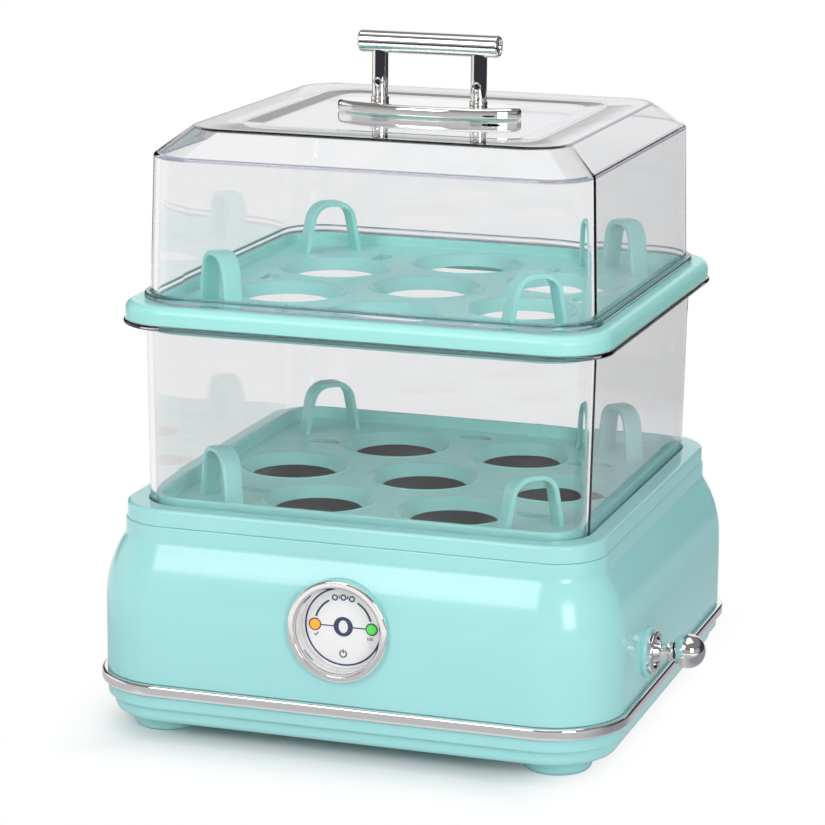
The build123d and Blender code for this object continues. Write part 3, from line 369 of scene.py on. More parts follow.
@dataclass(frozen=True)
class CoatedPlate(Finish):
    """A dark non-stick coat with pale flecks on pressed metal."""

    fleck: Colour = (0.35, 0.35, 0.36)
    relief: float = 0.00002
    sway: float = 0.12

    def dress(self, recipe: Recipe) -> None:
        """Flecks from small cells over a softly rough coat.

        Args:
            recipe: the material's nodes.
        """
        cells = recipe.node("ShaderNodeTexVoronoi", {"Vector": recipe.place(), "Scale": 900.0})
        fleck = 1.0 - Value(recipe, cells.outputs["Distance"]).above(0.06, 0.16)
        sparse = recipe.noise(300.0).above(0.56, 0.62)
        flecked = recipe.blend(fleck * sparse, self.colour, self.fleck)
        self.surface(recipe, {"Base Color": flecked}, recipe.noise(1200.0))


@dataclass(frozen=True)
class Lamp(Finish):
    """A small coloured lens, lit softly from inside."""

    glow: float = 0.25

    def dress(self, recipe: Recipe) -> None:
        """A faceted core under a smooth skin.

        Args:
            recipe: the material's nodes.
        """
        core = recipe.noise(900.0, 1.0)
        tone = recipe.blend(core.above(0.35, 0.65), self.tint(0.85), self.colour)
        self.surface(recipe, {"Base Color": tone, "Emission Color": tone, "Emission Strength": self.glow}, core)


@dataclass(frozen=True)
class Ink(Finish):
    """Printed ink, a little uneven."""

    sway: float = 0.08

    def dress(self, recipe: Recipe) -> None:
        """Ink with the press's faint mottle."""
        mottle = recipe.noise(1500.0)
        self.surface(recipe, {"Base Color": recipe.blend(mottle, self.colour, self.tint(1.25))}, mottle)


@dataclass(frozen=True)
class Woven(Finish):
    """A braided sleeve."""

    threads: float = 900.0
    relief: float = 0.00004
    sway: float = 0.1

    def dress(self, recipe: Recipe) -> None:
        """Threads side by side, as colour and relief.

        Args:
            recipe: the material's nodes.
        """
        inputs = {"Vector": recipe.place(), "Scale": self.threads, "Distortion": 1.0}
        thread = Value(recipe, recipe.node("ShaderNodeTexWave", inputs).outputs["Fac"])
        self.surface(recipe, {"Base Color": recipe.blend(thread, self.tint(0.75), self.colour)}, thread)


class Palette(Enum):
    """The finishes of the egg cooker."""

    BODY = Moulded("aqua_gloss_plastic", srgb(158, 216, 216), 0.2, "aqua_plastic", coat=0.25)
    TRAY = Moulded("aqua_tray_plastic", srgb(160, 224, 218), 0.26, "aqua_plastic", coat=0.1, relief=0.00002)
    DARK = Moulded("dark_moulding", (0.02, 0.02, 0.022), 0.45, "dark_plastic", relief=0.00004)
    IVORY = Moulded("ivory_plastic", (0.8, 0.76, 0.66), 0.4)
    BOARD = Moulded("board_resin", (0.02, 0.12, 0.04), 0.35)
    FACE = Moulded("dial_face_print", srgb(222, 222, 220), 0.35, "dial_print", relief=0.000004)
    # Each clear finish's edge colour is the painted shade of its rounded edges and grazing angles.
    CLEAR = ClearMoulded("clear_moulding", (0.9, 0.9, 0.905), 0.0, "clear_plastic")
    LID = ClearMoulded("clear_lid_moulding", (0.925, 0.925, 0.93), 0.0, "clear_plastic",
                       edge=(0.35, 0.35, 0.46))
    LENS = ClearMoulded("clear_dial_lens", (0.97, 0.975, 0.98), 0.0, "clear_lens",
                        edge=(0.5, 0.5, 0.55), ior=1.1)
    CHROME = Plated("bright_chrome", (0.88, 0.865, 0.845), 0.03, "chrome_plate")
    STEEL = BareMetal("zinc_steel", (0.55, 0.55, 0.57), 0.35, "steel")
    OXIDE = BareMetal("black_oxide_steel", (0.06, 0.06, 0.065), 0.4)
    CAST = BareMetal("cast_heater_block", (0.42, 0.42, 0.42), 0.5, grain=500.0)
    COAT = CoatedPlate("dark_plate_coat", (0.028, 0.028, 0.03), 0.35, "coated_plate")
    SEAL = Moulded("silicone_seal", (0.62, 0.62, 0.6), 0.55)
    AMBER = Lamp("amber_lens", srgb(252, 166, 32), 0.2, "amber_lamp")
    GREEN = Lamp("green_lens", srgb(84, 206, 84), 0.2, "green_lamp")
    NAVY = Ink("navy_print", srgb(42, 50, 84), 0.4, "dial_print")
    SLEEVE = Woven("fuse_sleeve", (0.75, 0.72, 0.62), 0.7)
    SHEATH = Moulded("lead_sheath", (0.5, 0.05, 0.03), 0.45)


# The carried-over CAD nodes that are not zinc-plated steel.
NODE_FINISH: dict[str, Palette] = {
    "lamp_board": Palette.BOARD, "plate_gasket": Palette.SEAL, "heating_element": Palette.CAST,
    "thermal_fuse": Palette.SLEEVE, "power_switch": Palette.DARK, "gland_nut": Palette.DARK,
    "chassis": Palette.DARK, "dial_nut": Palette.DARK, "terminal_block": Palette.IVORY,
    "inner_leads": Palette.SHEATH, "handle_set_screws": Palette.OXIDE,
}


@dataclass(frozen=True)
class Section:
    """One closed outline of a loft, in millimetres.

    Attributes:
        z: its level along the loft's axis.
        half: half its width.
        corner: its corners' radius, or None for a circle.
        soft: how far its edge is rounded off.
        depth: its width across over its width along.
    """

    z: float
    half: float
    corner: float | None = None
    soft: float = 0.0
    depth: float = 1.0


def squares(centre: float, *rows: Sequence[float]) -> list[Section]:
    """Squares with corners round these centres, from rows of a level, half a width and how soft the edge is."""
    return [Section(z, half, half - centre, *soft) for z, half, *soft in rows]


def rounds(*rows: Sequence[float]) -> list[Section]:
    """Circles, from rows of a level, a radius and how soft the edge is."""
    return [Section(z, radius, None, *soft) for z, radius, *soft in rows]


class Side(Enum):
    """The ways that round pieces point."""

    FRONT = (0, -1, 0)
    RIGHT = (1, 0, 0)
    BACK = (0, 1, 0)

    def at(self, *point: float) -> Matrix:
        """Turns +Z this way and moves the origin to a point."""
        turn = Vector((0, 0, 1)).rotation_difference(Vector(self.value)).to_matrix().to_4x4()
        return Matrix.Translation(point) @ turn


def turned(degrees: float) -> Matrix:
    """A turn about +Z."""
    return Matrix.Rotation(math.radians(degrees), 4, "Z")


def bent_path(points: Sequence[Vector], radius: float) -> list[tuple[Vector, Vector]]:
    """Follows straight runs joined by round bends.

    Args:
        points: the runs' ends in order.
        radius: the bends' radius.

    Returns:
        Points along the way, each with its direction.
    """
    way = [(points[0], (points[1] - points[0]).normalized())]
    for before, here, after in zip(points, points[1:], points[2:]):
        arrive, leave = (here - before).normalized(), (after - here).normalized()
        turn = arrive.angle(leave)
        inward = (leave - arrive * arrive.dot(leave)).normalized()
        middle = here - arrive * radius * math.tan(turn / 2) + inward * radius
        for step in range(BEND_STEPS + 1):
            angle = turn * step / BEND_STEPS
            out = arrive * math.sin(angle) - inward * math.cos(angle)
            way.append((middle + out * radius, arrive * math.cos(angle) + inward * math.sin(angle)))
    way.append((points[-1], (points[-1] - points[-2]).normalized()))
    return way


def meshed(name: str, shape: BMesh) -> bpy.types.Mesh:
    """Turns a shape, which is used up, into a mesh.

    Args:
        name: the mesh's name.
        shape: the shape.

    Returns:
        The mesh.
    """
    mesh = bpy.data.meshes.new(name)
    shape.to_mesh(mesh)
    shape.free()
    return mesh


def added(name: str, data: bpy.types.ID) -> bpy.types.Object:
    """Makes an object.

    Args:
        name: its name.
        data: its mesh, lamp or camera.

    Returns:
        The object, in the scene.
    """
    made = bpy.data.objects.new(name, data)
    bpy.context.scene.collection.objects.link(made)
    return made


class Piece:
    """A mesh that is being modelled, in millimetres."""

    def __init__(self, name: str) -> None:
        """Starts with an empty mesh."""
        self.name = name
        self.shape = bmesh.new()

    def outline(self, shape: BMesh, section: Section, place: Matrix) -> list[BMEdge]:
        """Draws one outline.

        Args:
            shape: the mesh that it is drawn in.
            section: the outline.
            place: the plane that it is drawn on.

        Returns:
            The outline's edges.
        """
        known = set(shape.edges)
        if section.corner is None:
            verts = bmesh.ops.create_circle(shape, segments=ROUND_STEPS, radius=section.half)["verts"]
        else:
            faces = set(shape.faces)
            square = bmesh.ops.create_grid(shape, x_segments=1, y_segments=1, size=section.half)["verts"]
            bmesh.ops.bevel(shape, geom=square, offset=section.corner, offset_type="ABSOLUTE",
                            segments=CORNER_STEPS, profile=0.5, affect="VERTICES", material=-1)
            face = next(face for face in shape.faces if face not in faces)
            verts = list(face.verts)
            bmesh.ops.delete(shape, geom=[face], context="FACES_ONLY")
        bmesh.ops.transform(shape, matrix=place @ Matrix.Diagonal((1, section.depth, 1, 1)), verts=verts)
        return [edge for edge in shape.edges if edge not in known]

    def join(self, shape: BMesh, loops: Sequence[list[BMEdge]], closed: bool) -> None:
        """Bridges outlines in order.

        Args:
            shape: the mesh that they are in.
            loops: each outline's edges.
            closed: whether the last joins the first; otherwise both ends are capped.
        """
        for low, high in zip(loops, loops[1:]):
            bmesh.ops.bridge_loops(shape, edges=low + high)
        if closed:
            bmesh.ops.bridge_loops(shape, edges=loops[-1] + loops[0])
        else:
            for end in (loops[0], loops[-1]):
                bmesh.ops.edgeloop_fill(shape, edges=end)

    def add(self, shape: BMesh, place: Matrix = Matrix()) -> "Piece":
        """Adds a closed shape.

        Args:
            shape: the shape, which is used up.
            place: where it stands.

        Returns:
            This piece.
        """
        shape.normal_update()
        bmesh.ops.recalc_face_normals(shape, faces=shape.faces)
        if shape.calc_volume(signed=True) < 0:
            bmesh.ops.reverse_faces(shape, faces=shape.faces)
        shape.transform(place)
        mesh = meshed("part", shape)
        self.shape.from_mesh(mesh)
        bpy.data.meshes.remove(mesh)
        return self

    def loft(self, sections: Sequence[Section], place: Matrix = Matrix(), closed: bool = False) -> "Piece":
        """Adds a solid through outlines, which are bridged well apart and then moved to their levels.

        Args:
            sections: the outlines in order.
            place: where the loft stands.
            closed: whether the last outline joins the first, as in a ring.

        Returns:
            This piece.
        """
        shape = bmesh.new()
        apart = [Matrix.Translation((0, 0, LEVEL_GAP * step)) for step in range(len(sections))]
        loops = [self.outline(shape, section, level) for section, level in zip(sections, apart)]
        self.join(shape, loops, closed)
        for section, level, loop in zip(sections, apart, loops):
            verts = list({vert for edge in loop for vert in edge.verts})
            bmesh.ops.translate(shape, vec=Vector((0, 0, section.z)) - level.translation, verts=verts)
        # Rounded-edge faces are marked, so that the clear finishes paint shade on them.
        layer = shape.faces.layers.float.new(EDGE)
        for section, loop in zip(sections, loops):
            if section.soft:
                steps = SOFT_STEPS if section.soft < WIDE_SOFT else WIDE_SOFT_STEPS
                made = bmesh.ops.bevel(shape, geom=loop, offset=section.soft, segments=steps, profile=0.5,
                                       affect="EDGES", clamp_overlap=False, loop_slide=True, material=-1)
                for face in made["faces"]:
                    face[layer] = 1.0
        return self.add(shape, place)

    def rod(self, radius: float, low: float, high: float, place: Matrix = Matrix()) -> "Piece":
        """Adds a plain round rod between two levels of a place's axis."""
        return self.loft(rounds((low, radius), (high, radius)), place)

    def ring(self, radii: Pair, levels: Pair, place: Matrix, softs: Pair = (0.0, 0.0)) -> "Piece":
        """Adds a ring.

        Args:
            radii: its outer and its inner radius.
            levels: where it starts and ends along the place's axis.
            place: where it stands.
            softs: how far its outer and its inner edge are rounded off at the end.

        Returns:
            This piece.
        """
        (outer, inner), (low, high), (soft, within) = radii, levels, softs
        rows = ((low, outer), (high, outer, soft), (high, inner, within), (low, inner))
        return self.loft(rounds(*rows), place, closed=True)

    def run(self, section: Section, places: Sequence[Matrix]) -> "Piece":
        """Adds a bar.

        Args:
            section: its section.
            places: the planes that it runs through, in order.

        Returns:
            This piece.
        """
        shape = bmesh.new()
        self.join(shape, [self.outline(shape, section, place) for place in places], False)
        return self.add(shape)

    def ball(self, radius: float, place: Matrix) -> "Piece":
        """Adds a ball.

        Args:
            radius: its radius.
            place: its middle.

        Returns:
            This piece.
        """
        shape = bmesh.new()
        bmesh.ops.create_uvsphere(shape, u_segments=BALL_STEPS[0], v_segments=BALL_STEPS[1], radius=radius)
        return self.add(shape, place)

    def block(self, size: Sequence[float], place: Matrix) -> "Piece":
        """Adds a block.

        Args:
            size: its length, width and height.
            place: its middle and its turn.

        Returns:
            This piece.
        """
        shape = bmesh.new()
        bmesh.ops.create_cube(shape, size=1.0, matrix=Matrix.Diagonal((*size, 1.0)))
        return self.add(shape, place)

    def arc(self, radius: float, width: float, span: Pair, place: Matrix) -> "Piece":
        """Adds a flat printed arc.

        Args:
            radius: its middle radius.
            width: the width of its line.
            span: its first and last angle in degrees.
            place: the plane that it lies in, with the arc's middle as origin.

        Returns:
            This piece.
        """
        sweep = math.radians(span[1] - span[0])
        shape = bmesh.new()
        face = bmesh.ops.create_grid(shape, x_segments=1, y_segments=1, size=0.5)["verts"]
        upright = Matrix.Rotation(math.pi / 2, 4, "X") @ Matrix.Diagonal((width, INK_T, 1, 1))
        fit = turned(span[0]) @ Matrix.Translation((radius, 0, INK_T / 2)) @ upright
        bmesh.ops.transform(shape, matrix=fit, verts=face)
        geom = [*shape.verts, *shape.edges, *shape.faces]
        steps = max(2, round(sweep * ARC_STEPS))
        bmesh.ops.spin(shape, geom=geom, axis=(0, 0, 1), angle=sweep, steps=steps)
        return self.add(shape, place)

    def cut(self, tool: "Piece") -> "Piece":
        """Takes another piece's shape out of this one.

        Args:
            tool: the shape that goes; it is used up.

        Returns:
            This piece.
        """
        whole, cutter = (added("cutting", meshed("cutting", shape)) for shape in (self.shape, tool.shape))
        hole = whole.modifiers.new("hole", "BOOLEAN")
        hole.operation, hole.solver, hole.object = "DIFFERENCE", "EXACT", cutter
        graph = bpy.context.evaluated_depsgraph_get()
        left = bpy.data.meshes.new_from_object(whole.evaluated_get(graph), depsgraph=graph)
        self.shape = bmesh.new()
        self.shape.from_mesh(left)
        for used in (left, whole.data, cutter.data):
            bpy.data.meshes.remove(used)
        return self

    def finish(self, finish: Palette, body: str, *nodes: str) -> None:
        """Turns the shape into a dressed object of the model.

        Args:
            finish: its finish.
            body: the CAD body that it rides on.
            nodes: the CAD nodes that it stands for.
        """
        bmesh.ops.remove_doubles(self.shape, verts=self.shape.verts, dist=MERGE_WITHIN)
        bmesh.ops.transform(self.shape, matrix=Matrix.Scale(MM, 4), verts=self.shape.verts)
        for face in self.shape.faces:
            face.smooth = True
        mesh = meshed(self.name, self.shape)
        mesh.set_sharp_from_angle(angle=SHARP_ANGLE)
        mesh.materials.append(finish.value.material())
        made = added(self.name, mesh)
        made.modifiers.new("even_shading", "WEIGHTED_NORMAL").keep_sharp = True
        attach(made, body)
        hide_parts(*nodes)
        stood_for = ", ".join(nodes) or "itself"
        LOG.info("%s has %d faces and stands for %s", self.name, len(mesh.polygons), stood_for)


@dataclass
class Base:
    """The aqua base: a flared housing, its ring, chrome trim, stepped cover and feet, with the plate inside."""

    half: float = 92.0
    neck: float = 85.1
    flare_from: float = 45.5
    flare_to: float = 68.0
    wall: float = 2.5
    drilled: Pair = (70.0, 110.0)
    dial_hole: float = 16.9
    lever_hole: float = 6.6
    pad_r: float = 8.5
    ring_half: float = 84.6
    ring_top: float = 79.5
    ring_wall: float = 2.2
    recess: float = 78.2
    well: float = 70.0
    mouth: float = 63.0
    ledge: float = 71.0
    ledge_t: float = 2.0
    band: Pair = (16.0, 20.0)
    band_half: float = 93.9
    band_inside: float = 89.4
    cover_foot: float = 5.5
    cover_step: float = 11.0
    cover_half: float = 89.3
    step_half: float = 91.8
    foot_at: float = 70.0
    foot_r: float = 11.8
    foot_bore: float = 3.7
    screw_seat: float = 2.75
    screw_slot: Triple = (3.4, 0.7, 1.6)
    stud_at: float = 28.0
    gland_at: Triple = (30.0, 0.0, 32.0)
    gland_bore: float = 3.3
    gland_hole: float = 5.6
    gland_r: float = 7.5

    def housing(self) -> None:
        """The flared shell with its dial hole, lever pad and cord hole."""
        run, rise = self.half - self.neck, self.flare_to - self.flare_from
        radius = (run**2 + rise**2) / (2 * run)
        bends = [math.asin(rise / radius) * step / FLARE_STEPS for step in range(FLARE_STEPS)]
        flare = [(self.flare_from + radius * math.sin(bend), self.half - radius * (1 - math.cos(bend)))
                 for bend in bends]
        foot, inside, throat = self.band[1], self.half - self.wall, self.neck - self.wall
        shell = Piece("housing_shell").loft(squares(
            BODY, (foot, self.half, 0.5), *flare, (self.flare_to, self.neck, 1.3), (BODY_TOP, self.neck, 0.45),
            (BODY_TOP, throat), (self.flare_to - 2.0, throat), (self.flare_from, inside), (foot, inside),
        ), closed=True)
        front, right = Side.FRONT.at(0, 0, DIAL_Z), Side.RIGHT.at(0, *LEVER_YZ)
        back = Side.BACK.at(*self.gland_at)
        holes = Piece("holes")
        for radius, axis in ((self.dial_hole, front), (self.lever_hole, right), (self.gland_hole, back)):
            holes.rod(radius, *self.drilled, axis)
        shell.cut(holes)
        shell.ring((17.2, 16.7), (84.0, 91.9), front)
        shell.ring((self.pad_r, self.lever_hole - 0.1), (90.0, PAD_FACE), right, (1.0, 0.0))
        shell.finish(Palette.BODY, "base", "base_housing")

    def collar(self) -> None:
        """The ring on top, with the recess that the chamber stands in."""
        skin, ledge, foot = self.ring_wall, self.ledge, self.ledge - self.ledge_t
        top, under = self.ring_top, self.ring_top - self.ring_wall
        Piece("top_collar").loft([
            *squares(BODY, (BODY_TOP, self.ring_half, 0.35), (top, self.ring_half, 1.3)),
            *squares(CLEAR, (top, self.recess, 0.7), (CHAMBER_FOOT, self.recess, 0.5)),
            *squares(WELL, (CHAMBER_FOOT, self.well, 0.3), (ledge, self.well)),
            *squares(MOUTH, (ledge, self.mouth, 0.3), (foot, self.mouth)),
            *squares(WELL, (foot, self.well + skin), (ledge, self.well + skin)),
            *squares(CLEAR, (ledge, self.recess + skin), (under, self.recess + skin)),
            *squares(BODY, (under, self.ring_half - skin), (BODY_TOP, self.ring_half - skin)),
        ], closed=True).finish(Palette.BODY, "base", "top_ring")

    def trim(self) -> None:
        """The chrome band round the foot of the housing."""
        (low, high), outer, inner = self.band, self.band_half, self.band_inside
        rows = ((low, outer, 1.0), (high, outer, 1.0), (high, inner), (low, inner))
        band = Piece("chrome_band").loft(squares(BODY, *rows), closed=True)
        band.finish(Palette.CHROME, "base", "chrome_trim")

    def cover(self) -> None:
        """The bottom cover in two rounded steps, and its four feet with their screws."""
        low, step, high, inside = self.cover_foot, self.cover_step, self.band[0], self.half - 4.0
        Piece("stepped_cover").loft(squares(
            BODY, (low, self.cover_half, 2.6), (step, self.cover_half, 0.5), (step, self.step_half, 1.2),
            (high, self.step_half, 0.8), (high, inside), (low + 2.5, inside),
        )).finish(Palette.BODY, "base", "bottom_cover")
        seat, spots = self.screw_seat, [Vector((x, y, 0)) * self.foot_at for x, y in CORNERS]
        screws = Piece("foot_screws")
        for name, spot in zip(("back_right", "back_left", "front_left", "front_right"), spots):
            place = Matrix.Translation(spot)
            Piece(f"foot_{name}_pad").loft(rounds(
                (0.0, self.foot_r, 2.1), (low, self.foot_r, 0.2), (low, 1.7), (seat, 1.7),
                (seat, self.foot_bore), (0.0, self.foot_bore, 0.4),
            ), place, closed=True).finish(Palette.BODY, "base", f"foot_{name}")
            screws.loft(rounds((0.6, 3.1, 0.9), (seat, 3.1), (seat + 0.01, 1.6), (19.0, 1.6)), place)
        long, short, high = self.screw_slot
        for size in ((long, short, high), (short, long, high)):
            slots = Piece("slots")
            for spot in spots:
                slots.block(size, Matrix.Translation(spot + Vector((0, 0, 0.9))) @ Matrix.Rotation(0.4, 4, "Z"))
            screws.cut(slots)
        screws.finish(Palette.STEEL, "base", "base_screws")

    def plate(self) -> None:
        """The dark heating plate with its shallow water dish and two studs."""
        rim, under = 73.2, 72.0
        dish = Piece("heating_dish").loft([
            Section(64.4, 55.8, 14.7, 1.6), Section(rim, 61.2, 17.4, 1.2), *squares(WELL, (rim, 69.4, 0.3)),
            *squares(WELL, (under, 69.4)), *squares(MOUTH, (under, 62.4)), Section(63.2, 57.0, 15.3, 1.0),
        ])
        for x in (-self.stud_at, self.stud_at):
            dish.rod(2.0, 51.4, 63.5, Matrix.Translation((x, 0, 0)))
        dish.finish(Palette.COAT, "base", "heating_plate")

    def gland(self) -> None:
        """The cord's gland at the back."""
        bush, start = self.gland_hole - 0.1, 80.0
        Piece("cord_bush").loft(rounds(
            (start, bush), (self.half, bush), (self.half, self.gland_r, 0.2), (PAD_FACE, self.gland_r, 0.7),
            (PAD_FACE, self.gland_bore, 0.5), (start, self.gland_bore),
        ), Side.BACK.at(*self.gland_at), closed=True).finish(Palette.DARK, "base", "cord_gland")

    def build(self) -> None:
        """Builds the whole base."""
        self.housing()
        self.collar()
        self.trim()
        self.cover()
        self.plate()
        self.gland()


@dataclass
class Dial:
    """The round display: a bright bezel, a clear window, a printed face and two lamps.

    Attributes:
        rings: each printed ring's radius, line and place along the face's width.
        egg: the egg's outer radius, and the radius and relative height of the hole in it.
        arcs: each printed arc's radius, line, first and last angle, and middle.
        strokes: each printed stroke's length, width, middle and turn in degrees.
        tabs: where the two tabs on the face's wall are.
        tab: a tab's width, height and line.
    """

    inner: float = 15.4
    tube: float = 16.6
    back: float = 78.5
    seat: float = 92.0
    front: float = 94.2
    face: float = 87.0
    lamp_at: float = 10.0
    lamp_r: float = 1.8
    rings: Rows = ((13.25, 0.6, 0.0), (2.0, 0.4, -10.0), (2.0, 0.4, 10.0))
    egg: Triple = (3.4, 1.62, 1.36)
    arcs: Rows = (
        (10.0, 0.7, 16, 60, 0.0, 0.0), (10.0, 0.7, 120, 164, 0.0, 0.0), (1.15, 0.45, 115, 425, 0.0, -9.4),
        (0.85, 0.5, 0, 359.9, -3.0, 9.85), (0.85, 0.5, 0, 359.9, 0.0, 10.1), (0.85, 0.5, 0, 359.9, 3.0, 9.85),
    )
    strokes: Rows = (
        (4.5, 0.42, -5.65, 0.0, 0), (4.5, 0.42, 5.65, 0.0, 0), (0.4, 1.1, -1.5, 10.2, 9),
        (0.4, 1.1, 1.5, 10.2, -9), (0.45, 1.3, 0.0, -8.5, 0), (0.32, 1.1, 8.65, -3.4, 12),
        (0.32, 1.1, 9.4, -3.4, 12), (0.32, 1.1, 10.15, -3.4, 12), (0.32, 0.8, -10.0, -3.5, 40),
        (0.32, 1.6, -9.2, -3.2, -35),
    )
    tabs: tuple[float, ...] = (138, 222)
    tab: Triple = (4.4, 2.8, 0.22)

    @property
    def place(self) -> Matrix:
        """The dial's axis, with +Z out of the front and +Y up."""
        return Matrix.Translation((0, 0, DIAL_Z)) @ Matrix.Rotation(math.pi / 2, 4, "X")

    def on_face(self, x: float, y: float, turn: float = 0.0) -> Matrix:
        """A point of the printed face, turned in its plane by an angle in degrees."""
        return self.place @ Matrix.Translation((x, y, self.face)) @ turned(turn)

    def bezel(self) -> None:
        """The polished ring with its tube."""
        Piece("bezel_ring").loft(rounds(
            (self.seat, DIAL_R, 0.15), (self.front, DIAL_R, 0.75), (self.front, self.inner, 0.35),
            (self.back, self.inner), (self.back, self.tube), (self.seat, self.tube),
        ), self.place, closed=True).finish(Palette.CHROME, "base", "dial_bezel")

    def window(self) -> None:
        """The clear window over the face."""
        rim = self.inner - 0.4
        Piece("dial_cup").loft(
            rounds((self.front - 1.9, rim, 0.2), (self.front - 1.0, rim, 0.4)), self.place,
        ).finish(Palette.LENS, "base", "dial_lens")

    def disc(self) -> None:
        """The pale face, with a wall in two shallow steps round it."""
        wall, face, top, step = self.inner, self.face, self.face + 3.9, self.face + 2.0
        lip = self.front - 1.1
        Piece("face_disc").loft(rounds(
            (face - 1.2, wall - 0.05), (lip, wall - 0.05), (lip, wall - 0.3), (top, wall - 0.45, 0.12),
            (top, wall - 0.7), (step, wall - 0.8, 0.12), (step, wall - 1.05), (face, wall - 1.1),
        ), self.place).finish(Palette.FACE, "base", "dial_face")

    def printed(self) -> None:
        """What is printed on the face and drawn on its wall."""
        ink = Piece("face_print")
        for radius, line, x in self.rings:
            ink.ring((radius + line / 2, radius - line / 2), (0, INK_T), self.on_face(x, 0))
        outer, hole, tall = self.egg
        ink.loft([
            *rounds((0, outer), (INK_T, outer)), Section(INK_T, hole, depth=tall), Section(0, hole, depth=tall),
        ], self.on_face(0, 0), closed=True)
        for radius, line, first, last, x, y in self.arcs:
            ink.arc(radius, line, (first, last), self.on_face(x, y))
        for long, wide, x, y, turn in self.strokes:
            ink.block((long, wide, 2 * INK_T), self.on_face(x, y, turn))
        wide, high, line = self.tab
        for turn in self.tabs:
            tab = self.place @ turned(turn) @ Matrix.Translation((self.inner - 0.75, 0, self.face + 2.6))
            for side in (-1, 1):
                ink.block((0.12, line, high + 0.2), tab @ Matrix.Translation((0, side * wide / 2, 0)))
                ink.block((0.12, wide, line), tab @ Matrix.Translation((0, 0, side * high / 2)))
        ink.finish(Palette.NAVY, "base")

    def lamps(self) -> None:
        """The two lamps."""
        for name, side, finish in (("ready_lamp", -1, Palette.AMBER), ("steaming_lamp", 1, Palette.GREEN)):
            place = self.place @ Matrix.Translation((side * self.lamp_at, 0, 0))
            rows = ((80.5, self.lamp_r), (self.face + 0.6, self.lamp_r, 0.55))
            Piece(name + "_dome").loft(rounds(*rows), place).finish(finish, "base", name)

    def build(self) -> None:
        """Builds the whole dial."""
        self.bezel()
        self.window()
        self.disc()
        self.printed()
        self.lamps()


@dataclass
class LeverSwitch:
    """The chrome ball lever and the round plate that it comes through."""

    pivot_x: float = 91.5
    tilt_deg: float = 6.5
    plate_r: float = 7.5
    plate_t: float = 2.0
    root_r: float = 5.2
    root_gap: float = 0.25
    flare_from: float = 4.3
    flare_long: float = 2.4
    flare_wide: float = 1.0
    stem_r: float = 2.6
    collar: Sequence[Pair] = ((8.25, 3.15), (8.7, 3.3), (9.2, 3.15), (9.25, 2.7), (11.0, 2.7))
    ball_r: float = 5.9
    ball_at: float = 15.1
    tail_r: float = 1.8
    tail: Pair = (-12.0, -3.0)

    def plate(self) -> None:
        """The round plate with its rounded edge."""
        radii, levels = (self.plate_r, self.root_r + self.root_gap), (PAD_FACE, PAD_FACE + self.plate_t)
        place = Side.RIGHT.at(0, *LEVER_YZ)
        rose = Piece("lever_rose").ring(radii, levels, place, (0.7, 0.25))
        rose.finish(Palette.CHROME, "base", "lever_plate")

    def arm(self) -> None:
        """The ball, its stem with a flared root, and the tail inside."""
        tilt = math.pi / 2 - math.radians(self.tilt_deg)
        along = Matrix.Translation((self.pivot_x, *LEVER_YZ)) @ Matrix.Rotation(tilt, 4, "Y")
        bends = [math.radians(degrees) for degrees in range(-60, 43, 6)]
        root = [(self.root_r * math.sin(bend), self.root_r * math.cos(bend)) for bend in bends]
        flare = [(self.flare_from + self.flare_long * part, self.stem_r + self.flare_wide * (1 - part) ** 2)
                 for part in (step / 6 for step in range(1, 7))]
        lever = Piece("ball_lever").loft(rounds(*root, *flare, (8.2, self.stem_r), *self.collar), along)
        lever.loft(rounds((self.tail[0], self.tail_r, 0.4), (self.tail[1], self.tail_r)), along)
        lever.ball(self.ball_r, along @ Matrix.Translation((0, 0, self.ball_at)))
        lever.finish(Palette.CHROME, "lever", "lever")

    def build(self) -> None:
        """Builds the plate and the lever."""
        self.plate()
        self.arm()


